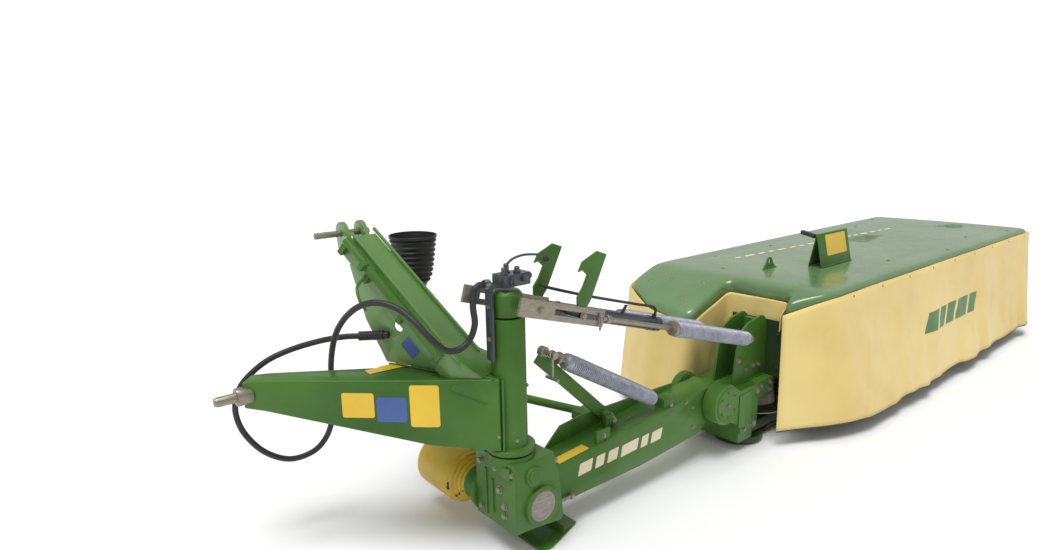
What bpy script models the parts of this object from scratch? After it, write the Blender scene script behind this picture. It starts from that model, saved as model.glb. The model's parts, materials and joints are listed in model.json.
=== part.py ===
"""Rear-mounted disc mower, side-pull type, with its mowing deck to the right of the tractor.

Metres, +Z up.  The origin lies on the ground under the rear end of the boom's hinge pipe.
+X points out along the mowing deck and +Y points forward to the tractor.
"""

import bpy
import bmesh
from math import atan2, ceil, cos, hypot, pi, radians, sin
from mathutils import Matrix, Vector

# ---------------------------------------------------------------- driving dimensions

GAP = 0.0003                      # between pieces that touch
RUNNING_GAP = 0.001               # between a shaft and the bore it turns in

POST_X, POST_Y = -0.06, 0.10      # swivel axis of the boom, vertical
POST_RADIUS = 0.065
POST_BORE = 0.042
POST_BOTTOM, POST_TOP = 0.42, 0.93
HEAD_TOP = 1.03                   # top of the swivel pin's head

HITCH_PIN_Y, HITCH_PIN_Z = 0.75, 0.655
BEAM_ROOT = 0.03                  # the hitch beams start this far from the post's axis
HITCH_LEFT_X, HITCH_RIGHT_X = -0.80, 0.03
TOP_LINK_X, TOP_LINK_Y, TOP_LINK_Z = -0.37, 0.67, 1.215

HINGE_X, HINGE_Z = 0.0, 0.20      # the boom's hinge pipe, along Y
HINGE_PIPE_RADIUS = 0.06
ARM_NEAR, ARM_FAR = 0.05, 0.19    # the boom's rear and front faces

DECK_X, DECK_Z = 1.148, 0.287     # the deck's hinge, along Y
DECK_PIN_RADIUS = 0.045

LIFT_X, LIFT_Z = -0.05, 0.98      # upper pivot of the lift cylinder
EYE_X, EYE_Z = 1.35, 0.566        # its lower eye on the deck's bracket
LIFT_Y = 0.09                     # middle of the cylinder
SPRING_NEAR_Y, SPRING_FAR_Y = -0.02, 0.215
SPRING_RADIUS = 0.036

DISC_COUNT = 7
DISC_PITCH = 0.43
FIRST_DISC_X, DISC_Y = 1.65, 0.15
DISC_RADIUS = 0.17
BLADE_REACH = 0.235
BAR_TOP = 0.095
BAR_START = 1.38                  # inner end of the cutterbar

HOOD_TOP = 0.80
HOOD_REAR, HOOD_FRONT = -0.27, 0.83
HOOD_OUTER = 4.52
HOOD_FLANGE = 0.10
HOOD_SLOPE_X, HOOD_SLOPE = 1.62, 0.40     # inboard of this X the hood falls away
CURTAIN_THICKNESS = 0.008
CURTAIN_BOTTOM = 0.08
CURTAIN_TOP = 0.77
CURTAIN_FLARE = 0.05              # how far a curtain's bottom stands out from the hood's edge

GUARD_X, GUARD_Z = -0.055, 0.185  # drive line below the post, along Y
GUARD_RADIUS = 0.117
GUARD_FAR = 0.62

FOOT_ANGLE_TOP = 0.037            # upright leg of the parking foot's angle iron

HOSE_RADIUS = 0.0115

# ---------------------------------------------------------------- materials

GREEN = (0.085, 0.22, 0.045)
DARK_GREEN = (0.045, 0.12, 0.03)
CREAM = (0.80, 0.60, 0.25)
YELLOW = (0.62, 0.38, 0.03)
ZINC = (0.55, 0.55, 0.52)
SPRING_GREY = (0.30, 0.32, 0.38)
BLACK = (0.02, 0.02, 0.022)
CYLINDER_BLUE = (0.05, 0.06, 0.08)
STEEL = (0.35, 0.34, 0.33)


def material(name, color, roughness, metallic=0.0):
    """A Principled material of one plain finish."""
    made = bpy.data.materials.get(name)
    if made is None:
        made = bpy.data.materials.new(name)
        made.use_nodes = True
        shader = made.node_tree.nodes["Principled BSDF"]
        shader.inputs["Base Color"].default_value = (*color, 1.0)
        shader.inputs["Roughness"].default_value = roughness
        shader.inputs["Metallic"].default_value = metallic
        made.diffuse_color = (*color, 1.0)
    return made


def finishes():
    """Every finish on the machine, by name."""
    return {
        "green_paint": material("green_paint", GREEN, 0.4),
        "dark_green_paint": material("dark_green_paint", DARK_GREEN, 0.5),
        "cream_fabric": material("cream_fabric", CREAM, 0.7),
        "yellow_plastic": material("yellow_plastic", YELLOW, 0.4),
        "zinc": material("zinc", ZINC, 0.35, 0.8),
        "spring_steel": material("spring_steel", SPRING_GREY, 0.4, 0.4),
        "black_rubber": material("black_rubber", BLACK, 0.6),
        "cylinder_paint": material("cylinder_paint", CYLINDER_BLUE, 0.35, 0.3),
        "steel": material("steel", STEEL, 0.4, 0.9),
    }


# ---------------------------------------------------------------- solids

AXES = {"X": Vector((1, 0, 0)), "Y": Vector((0, 1, 0)), "Z": Vector((0, 0, 1))}


def closed(bm):
    """Turn a bmesh into a mesh with its faces pointing out."""
    bmesh.ops.recalc_face_normals(bm, faces=bm.faces)
    mesh = bpy.data.meshes.new("solid")
    bm.to_mesh(mesh)
    bm.free()
    return mesh


def loft(loops):
    """Skin between loops with equal numbers of points, closed by a face at each end."""
    bm = bmesh.new()
    rings = [[bm.verts.new(point) for point in loop] for loop in loops]
    count = len(rings[0])
    for ring, following in zip(rings, rings[1:]):
        for i in range(count):
            j = (i + 1) % count
            bm.faces.new((ring[i], ring[j], following[j], following[i]))
    bm.faces.new(rings[0])
    bm.faces.new(rings[-1])
    return closed(bm)


def box(x, y, z):
    """A block from three (low, high) pairs."""
    corners = [(x[0], y[0]), (x[1], y[0]), (x[1], y[1]), (x[0], y[1])]
    return loft([[(a, b, level) for a, b in corners] for level in z])


def plate(outline, axis, low, high):
    """An outline extruded along an axis: X takes (y, z), Y takes (x, z) and Z takes (x, y)."""
    def place(point, level):
        a, b = point
        return {"X": (level, a, b), "Y": (a, level, b), "Z": (a, b, level)}[axis]
    return loft([[place(point, level) for point in outline] for level in (low, high)])


def turned(profile, base, direction, sides=24):
    """A solid of revolution: the profile's (radius, distance) pairs run along direction from base.

    A profile that starts and ends on the axis is closed there; any other closes on itself.
    """
    direction = Vector(direction).normalized()
    base = Vector(base)
    side = direction.orthogonal().normalized()
    if abs(direction.z) < 0.999:
        side = direction.cross(AXES["Z"]).normalized()
    up = direction.cross(side)
    bm = bmesh.new()
    rings = []
    for radius, distance in profile:
        middle = base + direction * distance
        if radius < 1e-6:
            rings.append([bm.verts.new(middle)] * sides)
            continue
        turns = [2 * pi * i / sides for i in range(sides)]
        rings.append([bm.verts.new(middle + (side * cos(t) + up * sin(t)) * radius) for t in turns])
    open_ended = profile[0][0] > 1e-6
    pairs = list(zip(rings, rings[1:]))
    if open_ended:
        pairs.append((rings[-1], rings[0]))
    for ring, following in pairs:
        for i in range(sides):
            j = (i + 1) % sides
            corners = [ring[i], ring[j], following[j], following[i]]
            unique = list(dict.fromkeys(corners))
            if len(unique) > 2:
                bm.faces.new(unique)
    return closed(bm)


def rod(start, end, radius, bore=0.0, sides=20):
    """A round bar, or a tube where it has a bore."""
    start, end = Vector(start), Vector(end)
    length = (end - start).length
    if bore:
        profile = [(radius, 0), (radius, length), (bore, length), (bore, 0)]
    else:
        profile = [(0, 0), (radius, 0), (radius, length), (0, length)]
    return turned(profile, start, end - start, sides)


def bar(start, end, width, height, flat="Y"):
    """A rectangular bar between two points; its width lies along the flat axis."""
    start, end = Vector(start), Vector(end)
    along = (end - start).normalized()
    across = AXES[flat] - along * along.dot(AXES[flat])
    across.normalize()
    up = along.cross(across)
    corners = [(-1, -1), (1, -1), (1, 1), (-1, 1)]
    return loft([[p + across * (a * width / 2) + up * (b * height / 2) for a, b in corners]
                 for p in (start, end)])


def arc(center, radius, start, end, steps=6):
    """Points on an arc in a plane, from one angle in degrees to another."""
    angles = [radians(start + (end - start) * i / steps) for i in range(steps + 1)]
    return [(center[0] + radius * cos(a), center[1] + radius * sin(a)) for a in angles]


def temporary(mesh):
    made = bpy.data.objects.new("temporary", mesh)
    bpy.context.scene.collection.objects.link(made)
    return made


def fuse(solids, cuts=()):
    """One closed mesh: the union of the solids, less the cuts."""
    if len(solids) == 1 and not cuts:
        return solids[0]
    base = temporary(solids[0])
    tools = [temporary(mesh) for mesh in (*solids[1:], *cuts)]
    for index, tool in enumerate(tools):
        step = base.modifiers.new("step", "BOOLEAN")
        step.object = tool
        step.solver = "EXACT"
        step.operation = "UNION" if index < len(solids) - 1 else "DIFFERENCE"
    graph = bpy.context.evaluated_depsgraph_get()
    result = bpy.data.meshes.new_from_object(base.evaluated_get(graph))
    for used in (base, *tools):
        bpy.data.objects.remove(used)
    return result


# ---------------------------------------------------------------- bodies

def pivots():
    """Each body's pivot and the body that carries it."""
    return {
        "headstock": ((0, 0, 0), None),
        "pivot_block": ((POST_X, POST_Y, POST_BOTTOM), "headstock"),
        "parking_foot": ((0.09, 0.28, 0.01), "pivot_block"),
        "boom": ((HINGE_X, 0, HINGE_Z), "pivot_block"),
        "lift_cylinder": ((LIFT_X, LIFT_Y, LIFT_Z), "boom"),
        "lift_rod": ((EYE_X, LIFT_Y, EYE_Z), "lift_cylinder"),
        "deck": ((DECK_X, 0, DECK_Z), "boom"),
        **{f"disc_{i + 1}": ((disc_x(i), DISC_Y, BAR_TOP), "deck") for i in range(DISC_COUNT)},
    }


def disc_x(index):
    return FIRST_DISC_X + DISC_PITCH * index


class Machine:
    """Places finished meshes under an empty on their body's pivot."""

    def __init__(self):
        self.finish = finishes()
        self.empties = {}
        for body, (place, parent) in pivots().items():
            empty = bpy.data.objects.new(f"pivot_{body}", None)
            bpy.context.scene.collection.objects.link(empty)
            if parent:
                empty.parent = self.empties[parent]
                place = Vector(place) - Vector(pivots()[parent][0])
            empty.location = place
            self.empties[body] = empty

    def add(self, name, body, finish, solids, cuts=(), smooth=40):
        """One named piece, fused from its solids."""
        mesh = fuse(list(solids), list(cuts))
        mesh.name = name
        mesh.transform(Matrix.Translation(-Vector(pivots()[body][0])))
        mesh.materials.clear()
        mesh.materials.append(self.finish[finish])
        mesh.shade_smooth()
        mesh.set_sharp_from_angle(angle=radians(smooth))
        made = bpy.data.objects.new(name, mesh)
        made.parent = self.empties[body]
        bpy.context.scene.collection.objects.link(made)
        return made


# ---------------------------------------------------------------- headstock

def hitch_beam(end_x, end_half_width, root_half_width, grow=0.0):
    """A tapered box beam from the post out to one lower hitch pin."""
    start = Vector((POST_X, POST_Y, 0))
    end = Vector((end_x, HITCH_PIN_Y - 0.01, 0))
    along = (end - start).normalized()
    length = (end - start).length
    across = Vector((-along.y, along.x, 0))
    stations = [
        (BEAM_ROOT, root_half_width, 0.44, 0.72),
        (0.30 * length, root_half_width, 0.47, 0.72),
        (0.92 * length, end_half_width, 0.592, 0.712),
        (length, end_half_width, 0.605, 0.705),
    ]
    loops = []
    for distance, half, low, high in stations:
        middle = start + along * distance
        half += grow
        low, high = low - grow, high + grow
        loops.append([middle + across * side * half + AXES["Z"] * z
                      for side, z in ((-1, low), (1, low), (1, high), (-1, high))])
    return loft(loops)


def post_space():
    """The room that the post takes out of its neighbours."""
    return rod((POST_X, POST_Y, 0.30), (POST_X, POST_Y, 1.10), POST_RADIUS + GAP, sides=24)


TOP_BEAM_FOOT = Vector((-0.19, 0.20, 0.74))
TOP_BEAM_HEAD = Vector((-0.37, 0.64, 1.19))
TOP_BEAM_WIDTH, TOP_BEAM_DEPTH = 0.15, 0.10


def top_beam_box(grow=0.0):
    """The inclined box beam up to the top link's clevis."""
    along = (TOP_BEAM_HEAD - TOP_BEAM_FOOT).normalized()
    across = along.cross(AXES["Z"]).normalized()
    up = across.cross(along)
    loops = []
    for middle, scale in ((TOP_BEAM_FOOT - along * 0.08, 1.0), (TOP_BEAM_HEAD - along * 0.02, 0.85)):
        half = TOP_BEAM_WIDTH / 2 * scale + grow
        deep = TOP_BEAM_DEPTH / 2 * scale + grow
        loops.append([middle + across * a * half + up * b * deep
                      for a, b in ((-1, -1), (1, -1), (1, 1), (-1, 1))])
    return loft(loops)


def clevis_ear(x):
    """One ear of the top link's clevis, a rounded plate."""
    outline = [(0.585, 1.11), (0.70, 1.155)] + arc((TOP_LINK_Y, TOP_LINK_Z), 0.045, -10, 150) + [(0.60, 1.19)]
    return plate(outline, "X", x - 0.008, x + 0.008)


def add_headstock(machine):
    left = hitch_beam(HITCH_LEFT_X, 0.045, 0.085)
    machine.add("hitch_beam_left", "headstock", "green_paint", [left], [post_space()])
    machine.add("hitch_beam_right", "headstock", "green_paint",
                [hitch_beam(HITCH_RIGHT_X, 0.045, 0.055)],
                [post_space(), hitch_beam(HITCH_LEFT_X, 0.045, 0.085, GAP),
                 box((-0.20, -0.085), (0.10, 0.18), (0.40, 0.46))])

    flange = [(POST_RADIUS - 0.02, 0), (0.093, 0), (0.093, 0.0195), (POST_RADIUS - 0.02, 0.0195)]
    post = [rod((POST_X, POST_Y, POST_BOTTOM), (POST_X, POST_Y, POST_TOP), POST_RADIUS, POST_BORE, 24),
            turned(flange, (POST_X, POST_Y, POST_BOTTOM), (0, 0, 1))]
    machine.add("post", "headstock", "green_paint", post)

    pin = [(0, 0), (0.034, 0), (0.034, 0.055), (0.0185, 0.055), (0.0185, 0.118), (0.014, 0.131), (0, 0.131)]
    for side, x, out, half in (("left", HITCH_LEFT_X, -1, 0.085), ("right", HITCH_RIGHT_X, 1, 0.055)):
        machine.add(f"hitch_pin_{side}", "headstock", "zinc",
                    [turned(pin, (x, HITCH_PIN_Y - 0.045, HITCH_PIN_Z), (out, 0, 0), 16)],
                    [hitch_beam(x, 0.045, half, GAP)])

    beam = [top_beam_box()] + [clevis_ear(TOP_LINK_X + side * 0.038) for side in (-1, 1)]
    cuts = [post_space(),
            hitch_beam(HITCH_LEFT_X, 0.045, 0.085, GAP),
            hitch_beam(HITCH_RIGHT_X, 0.045, 0.055, GAP),
            rod((TOP_LINK_X - 0.2, TOP_LINK_Y, TOP_LINK_Z), (TOP_LINK_X + 0.2, TOP_LINK_Y, TOP_LINK_Z),
                0.0128, sides=16)]
    machine.add("top_link_beam", "headstock", "green_paint", beam, cuts)
    machine.add("top_link_pin", "headstock", "zinc",
                [rod((TOP_LINK_X - 0.15, TOP_LINK_Y, TOP_LINK_Z), (TOP_LINK_X + 0.07, TOP_LINK_Y, TOP_LINK_Z),
                     0.0122, sides=16)])

    along = (TOP_BEAM_HEAD - TOP_BEAM_FOOT).to_2d().normalized()
    across = Vector((along.y, -along.x))
    outline = [(0.12, 0.7206), (0.43, 0.7206), (0.52, 0.88), (0.585, 1.095), (0.53, 1.10), (0.30, 0.93),
               (0.14, 0.775)]
    loops = []
    for offset in (-0.044, -0.036):
        middle = Vector((POST_X, POST_Y)) + Vector((-0.075, 0.03)) + across * offset
        loops.append([(*(middle + along * t), z) for t, z in outline])
    parking_hole = Vector((POST_X, POST_Y, 0.87)) + Vector((-0.075, 0.03, 0)) + along.to_3d() * 0.363
    machine.add("coupling_panel", "headstock", "green_paint", [loft(loops)],
                [top_beam_box(GAP), hitch_beam(HITCH_LEFT_X, 0.045, 0.085, GAP),
                 rod(parking_hole - across.to_3d() * 0.2, parking_hole + across.to_3d() * 0.2, 0.022)])

    machine.add("drive_shaft", "headstock", "black_rubber", [turned(
        [(0, 0), (0.03, 0), (0.045, 0.02), (0.045, 0.09), (0.034, 0.11), (0.034, 0.56), (0.062, 0.60),
         (0.095, 0.70), (0.10, 0.80), (0.094, 0.80), (0.088, 0.705), (0.05, 0.66), (0, 0.66)],
        (-0.085, 0.715, 0.37), (0.0, -0.02, 1), 20)])
    machine.add("shaft_holder", "headstock", "green_paint",
                [bar((-0.33, 0.60, 1.03), (-0.124, 0.69, 0.86), 0.03, 0.012)],
                [top_beam_box(GAP), rod((-0.085, 0.715, 0.37), (-0.085, 0.6922, 1.4), 0.0345)])

    machine.add("valve_block", "headstock", "cylinder_paint",
                [box((-0.142, -0.134), (0.08, 0.12), (0.78, 1.07)),
                 box((-0.142, -0.06), (0.085, 0.115), (1.045, 1.055)),
                 box((-0.10, 0.02), (0.06, 0.13), (1.045, 1.09)),
                 rod((-0.14, 0.095, 1.065), (-0.165, 0.095, 1.065), 0.016, sides=12)])


# ---------------------------------------------------------------- hose

def hose_route():
    """The free hose from the valve, round the end of the left beam and back to the panel."""
    return [
        (-0.1655, 0.095, 1.065), (-0.175, 0.095, 1.065), (-0.186, 0.095, 1.065), (-0.208, 0.095, 1.045),
        (-0.212, 0.095, 0.99),
        (-0.205, 0.098, 0.93), (-0.225, 0.105, 0.875), (-0.27, 0.11, 0.848), (-0.318, 0.12, 0.856),
        (-0.357, 0.15, 0.90), (-0.383, 0.20, 0.95), (-0.405, 0.26, 0.987), (-0.435, 0.31, 1.005),
        (-0.467, 0.36, 1.005), (-0.497, 0.42, 0.978), (-0.514, 0.50, 0.917), (-0.516, 0.58, 0.831),
        (-0.503, 0.66, 0.708), (-0.485, 0.71, 0.58), (-0.484, 0.74, 0.455), (-0.505, 0.765, 0.37),
        (-0.56, 0.78, 0.318), (-0.65, 0.80, 0.308), (-0.738, 0.82, 0.36), (-0.80, 0.835, 0.448),
        (-0.825, 0.84, 0.536), (-0.815, 0.84, 0.61), (-0.777, 0.84, 0.667), (-0.701, 0.82, 0.727),
        (-0.614, 0.78, 0.766), (-0.522, 0.70, 0.801), (-0.46, 0.62, 0.822), (-0.42, 0.57, 0.828),
    ]


def smooth_route(points, steps):
    """Points on a Catmull-Rom curve through a route."""
    points = [Vector(p) for p in points]
    padded = [points[0] * 2 - points[1]] + points + [points[-1] * 2 - points[-2]]
    made = []
    for a, b, c, d in zip(padded, padded[1:], padded[2:], padded[3:]):
        for i in range(steps):
            t = i / steps
            made.append(0.5 * (2 * b + (c - a) * t + (2 * a - 5 * b + 4 * c - d) * t * t
                               + (3 * b - a - 3 * c + d) * t ** 3))
    return made + [points[-1]]


def add_hose(machine):
    curve = bpy.data.curves.new("hydraulic_hose", "CURVE")
    curve.dimensions = "3D"
    curve.bevel_depth = HOSE_RADIUS
    curve.bevel_resolution = 2
    curve.use_fill_caps = True
    points = smooth_route(hose_route(), 2)
    spline = curve.splines.new("POLY")
    spline.points.add(len(points) - 1)
    for target, point in zip(spline.points, points):
        target.co = (*point, 1.0)
    curve.materials.append(machine.finish["black_rubber"])
    made = bpy.data.objects.new("hydraulic_hose", curve)
    made.parent = machine.empties["headstock"]
    bpy.context.scene.collection.objects.link(made)

    end = points[-1]
    direction = (end - points[-2]).normalized()
    machine.add("hose_coupler", "headstock", "black_rubber", [turned(
        [(0, GAP), (0.013, GAP), (0.019, 0.012), (0.019, 0.10), (0.014, 0.105), (0.014, 0.125), (0, 0.125)],
        end, direction, 16)])


# ---------------------------------------------------------------- pivot block

def add_pivot_block(machine):
    near, far = (0.0, 0.045), (0.195, 0.24)
    cheek = [(-0.085, 0.12)] + [(-0.02, 0.115), (0.10, 0.10), (0.112, 0.12), (0.09, 0.30), (0.065, 0.395),
                               (-0.085, 0.395)]
    solids = [plate(cheek, "Y", *near), plate(cheek, "Y", *far),
              box((-0.085, 0.062), (0.0, 0.24), (0.288, 0.395)),
              box((-0.125, -0.0795), (0.0, 0.24), (0.12, 0.395)),
              rod((HINGE_X, -0.012, HINGE_Z), (HINGE_X, 0.04, HINGE_Z), 0.078, sides=24),
              rod((-0.038, -0.012, 0.333), (-0.038, 0.02, 0.333), 0.036, sides=20),
              rod((POST_X, POST_Y, 0.38), (POST_X, POST_Y, 0.412), 0.09, sides=24),
              box((0.045, 0.135), (0.235, 0.312), (0.31, 0.36))]
    cuts = [rod((HINGE_X, -0.05, HINGE_Z), (HINGE_X, 0.30, HINGE_Z), HINGE_PIPE_RADIUS + GAP, sides=24),
            box((0.070, 0.110), (0.26, 0.30), (0.25, 0.40))]
    machine.add("pivot_block", "pivot_block", "green_paint", solids, cuts)
    machine.add("hinge_pipe", "pivot_block", "steel",
                [rod((HINGE_X, -0.009, HINGE_Z), (HINGE_X, 0.245, HINGE_Z), HINGE_PIPE_RADIUS, sides=24)])
    machine.add("swivel_pin", "pivot_block", "green_paint", [turned(
        [(0, 0.412 + GAP), (POST_BORE - RUNNING_GAP, 0.412 + GAP), (POST_BORE - RUNNING_GAP, 0.936),
         (0.058, 0.936), (0.058, 1.015), (0.045, HEAD_TOP), (0, HEAD_TOP)], (POST_X, POST_Y, 0), (0, 0, 1))])
    machine.add("drive_housing", "pivot_block", "green_paint", [turned(
        [(0, 0.2405), (0.088, 0.2405), (0.088, 0.262), (0.062, 0.27), (0.062, 0.318), (0.072, 0.3345),
         (0, 0.3345)], (GUARD_X, 0, GUARD_Z), (0, 1, 0))],
        [rod((HINGE_X, 0.20, HINGE_Z), (HINGE_X, 0.246, HINGE_Z), HINGE_PIPE_RADIUS + GAP, sides=24),
         box((0.040, 0.2), (0.2, 0.4), (0.0, 0.4))])
    machine.add("shaft_guard", "pivot_block", "yellow_plastic", [turned(
        [(0, 0.335), (0.072, 0.335), (0.078, 0.345), (0.09, 0.347), (0.092, 0.36), (0.104, 0.362),
         (0.106, 0.377), (0.112, 0.38), (GUARD_RADIUS, 0.395), (GUARD_RADIUS, GUARD_FAR),
         (0.112, GUARD_FAR), (0.112, 0.398), (0.08, 0.36), (0.06, 0.341), (0, 0.341)],
        (GUARD_X, 0, GUARD_Z), (0, 1, 0), 28)])

    foot = [box((0.075, 0.105), (0.265, 0.295), (0.008, 0.385)),
            plate([(-0.006, -0.006), (0.05, -0.006), (0.145, 0.026), (0.232, 0.056), (0.232, 0.30),
                   (0.0, 0.30)], "Z", 0.0, 0.012),
            box((0.140, 0.148), (0.028, 0.30), (0.008, FOOT_ANGLE_TOP))]
    machine.add("parking_foot", "parking_foot", "green_paint", foot)


# ---------------------------------------------------------------- boom

def add_boom(machine):
    outline = [(0.085, 0.14), (0.14, 0.13), (0.62, 0.127), (1.03, 0.152), (1.12, 0.21),
               (1.14, 0.365), (1.07, 0.362), (0.62, 0.326), (0.14, 0.291), (0.085, 0.262)]
    solids = [plate(outline, "Y", ARM_NEAR, ARM_FAR),
              rod((HINGE_X, ARM_NEAR, HINGE_Z), (HINGE_X, ARM_FAR, HINGE_Z), 0.074, sides=24),
              box((0.03, 0.12), (ARM_NEAR, ARM_FAR), (0.145, 0.255)),
              rod((DECK_X, ARM_NEAR + 0.008, DECK_Z), (DECK_X, ARM_FAR - 0.008, DECK_Z), 0.086, sides=24),
              box((0.36, 0.44), (0.062, 0.074), (0.30, 0.36)),
              box((0.79, 0.87), (0.062, 0.118), (0.32, 0.385))]
    cuts = [rod((HINGE_X, 0, HINGE_Z), (HINGE_X, 0.3, HINGE_Z), HINGE_PIPE_RADIUS + RUNNING_GAP, sides=24),
            rod((DECK_X, 0, DECK_Z), (DECK_X, 0.3, DECK_Z), DECK_PIN_RADIUS + RUNNING_GAP, sides=20)]
    machine.add("boom_arm", "boom", "green_paint", solids, cuts)

    side = [(0.16, 0.20), (0.16, 0.272), (0.275, 0.372), (0.40, 0.385), (1.0, 0.372), (1.02, 0.31), (1.02, 0.24)]
    machine.add("boom_side_plate", "boom", "green_paint", [plate(side, "Y", ARM_FAR + GAP, ARM_FAR + 0.011)])

    strut = [rod((0.12, 0.62, 0.47), (0.50, 0.27, 0.345), 0.019, sides=12),
             rod((0.12, 0.62, 0.47), (0.145, 0.597, 0.462), 0.03, sides=12),
             box((0.44, 0.58), (0.2015, 0.30), (0.325, 0.365))]
    machine.add("breakaway_strut", "boom", "green_paint", strut)

    link = bar((0.135, 0.166, 0.715), (0.52, 0.166, 0.355), 0.012, 0.055)
    machine.add("stop_link", "boom", "green_paint",
                [link, rod((0.50, 0.13, 0.372), (0.50, 0.172, 0.372), 0.02, sides=12),
                 box((0.475, 0.525), (0.120, 0.150), (0.3275, 0.38))],
                [plate([(0.14, 0.2915), (0.62, 0.3265), (0.62, 0.2), (0.14, 0.2)], "Y", 0.0, ARM_FAR)])

    top, bottom = Vector((0.21, LIFT_Y, 0.70)), Vector((0.775, LIFT_Y, 0.3765))
    slope = (bottom - top).normalized()
    machine.add("relief_spring", "boom", "spring_steel", [turned(
        [(0, 0), (0.02, 0), (SPRING_RADIUS, 0.015), (SPRING_RADIUS, 0.60), (0.02, 0.612), (0, 0.612)],
        top, slope, 20)])
    eye = Vector((0.10, LIFT_Y, 0.763))
    machine.add("spring_adjuster", "boom", "zinc",
                [rod(eye + slope * 0.005, top - slope * GAP, 0.011, sides=12),
                 rod(eye - AXES["Y"] * 0.016, eye + AXES["Y"] * 0.016, 0.02, sides=16),
                 rod(eye - AXES["Y"] * 0.012, eye - AXES["Y"] * 0.062, 0.008, sides=12),
                 rod((0.10, 0.04, 0.772), (0.10, 0.04, 0.66), 0.0065, sides=12),
                 rod((0.10, 0.004, 0.666), (0.10, 0.076, 0.666), 0.0065, sides=12)])


# ---------------------------------------------------------------- lift gear

def lift_direction():
    return Vector((EYE_X - LIFT_X, 0, EYE_Z - LIFT_Z)).normalized()


def on_lift(x, y, rise=0.0):
    """The point of the lift gear's axis at a given X, raised square to it."""
    along = lift_direction()
    normal = Vector((-along.z, 0, along.x))
    distance = (x - LIFT_X) / along.x
    return Vector((LIFT_X, y, LIFT_Z)) + along * distance + normal * rise


def strap(start_x, end_x, y, slot):
    """A flat strap along the lift gear, with one long slot."""
    body = bar(on_lift(start_x, y), on_lift(end_x, y), 0.012, 0.066)
    cut = bar(on_lift(slot[0], y), on_lift(slot[1], y), 0.05, 0.022)
    return [body], [cut]


def hook(x, y):
    """A catch hook that leans out over a strap, with its mouth towards the tractor's side."""
    foot = on_lift(x, y, 0.0335)
    outline = [(-0.035, -0.008), (0.006, -0.008), (0.032, 0.021), (0.117, 0.185), (0.069, 0.203),
               (-0.008, 0.172), (-0.029, 0.137), (-0.009, 0.142), (0.017, 0.119), (-0.009, 0.074),
               (-0.035, 0.044)]
    return plate([(foot.x + a, foot.z + b) for a, b in outline], "Y", y - 0.005, y + 0.005)


def add_lift(machine):
    for name, y, start, end, slot in (("near", SPRING_NEAR_Y, -0.10, 0.31, (0.06, 0.28)),
                                      ("far", SPRING_FAR_Y, -0.17, 0.23, (-0.10, 0.14))):
        solids, cuts = strap(start, end, y, slot)
        solids.append(rod(on_lift(end - 0.003, y), on_lift(0.80, y), 0.010, sides=12))
        machine.add(f"lift_strap_{name}", "lift_cylinder", "zinc", solids, cuts)
    machine.add("catch_hook_near", "lift_cylinder", "green_paint", [hook(0.20, SPRING_NEAR_Y)],
                [bar(on_lift(0.0, SPRING_NEAR_Y), on_lift(0.4, SPRING_NEAR_Y), 0.05, 0.0666)])
    machine.add("catch_hook_far", "lift_cylinder", "green_paint", [hook(0.187, SPRING_FAR_Y)],
                [bar(on_lift(-0.1, SPRING_FAR_Y), on_lift(0.3, SPRING_FAR_Y), 0.05, 0.0666)])

    along = lift_direction()
    start = on_lift(0.125, LIFT_Y)
    length = 0.66
    barrel = turned([(0, 0), (0.03, 0), (0.03, length), (0.022, length), (0.022, 0.04), (0, 0.04)],
                    start, along, 20)
    cross = rod(on_lift(0.20, SPRING_NEAR_Y + 0.0063), on_lift(0.20, SPRING_FAR_Y - 0.0063), 0.014, sides=12)
    machine.add("lift_cylinder", "lift_cylinder", "cylinder_paint", [barrel, cross],
                [rod(start + along * 0.04, start + along * 0.8, 0.022)])

    eye = on_lift(EYE_X, LIFT_Y)
    machine.add("lift_rod", "lift_rod", "steel",
                [rod(start + along * 0.46, eye - along * 0.01, 0.015, sides=16),
                 rod(eye - AXES["Y"] * 0.026, eye + AXES["Y"] * 0.026, 0.027, sides=16)])
    for name, y, first, last in (("near", SPRING_NEAR_Y, 0.735, 1.30), ("far", SPRING_FAR_Y, 0.66, 1.25)):
        base = on_lift(first, y)
        reach = (last - first) / along.x
        sleeve = turned([(0.017, 0), (SPRING_RADIUS, 0), (SPRING_RADIUS, reach - 0.02), (0.024, reach),
                         (0.017, reach)], base, along, 20)
        plug = turned([(0, 0), (0.019, 0), (0.02, 0.015), (0.02, 0.055), (0.012, 0.065), (0, 0.065)],
                      base + along * (reach - 0.01), along, 16)
        machine.add(f"lift_spring_{name}", "lift_rod", "spring_steel", [sleeve, plug])


# ---------------------------------------------------------------- deck frame

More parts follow.
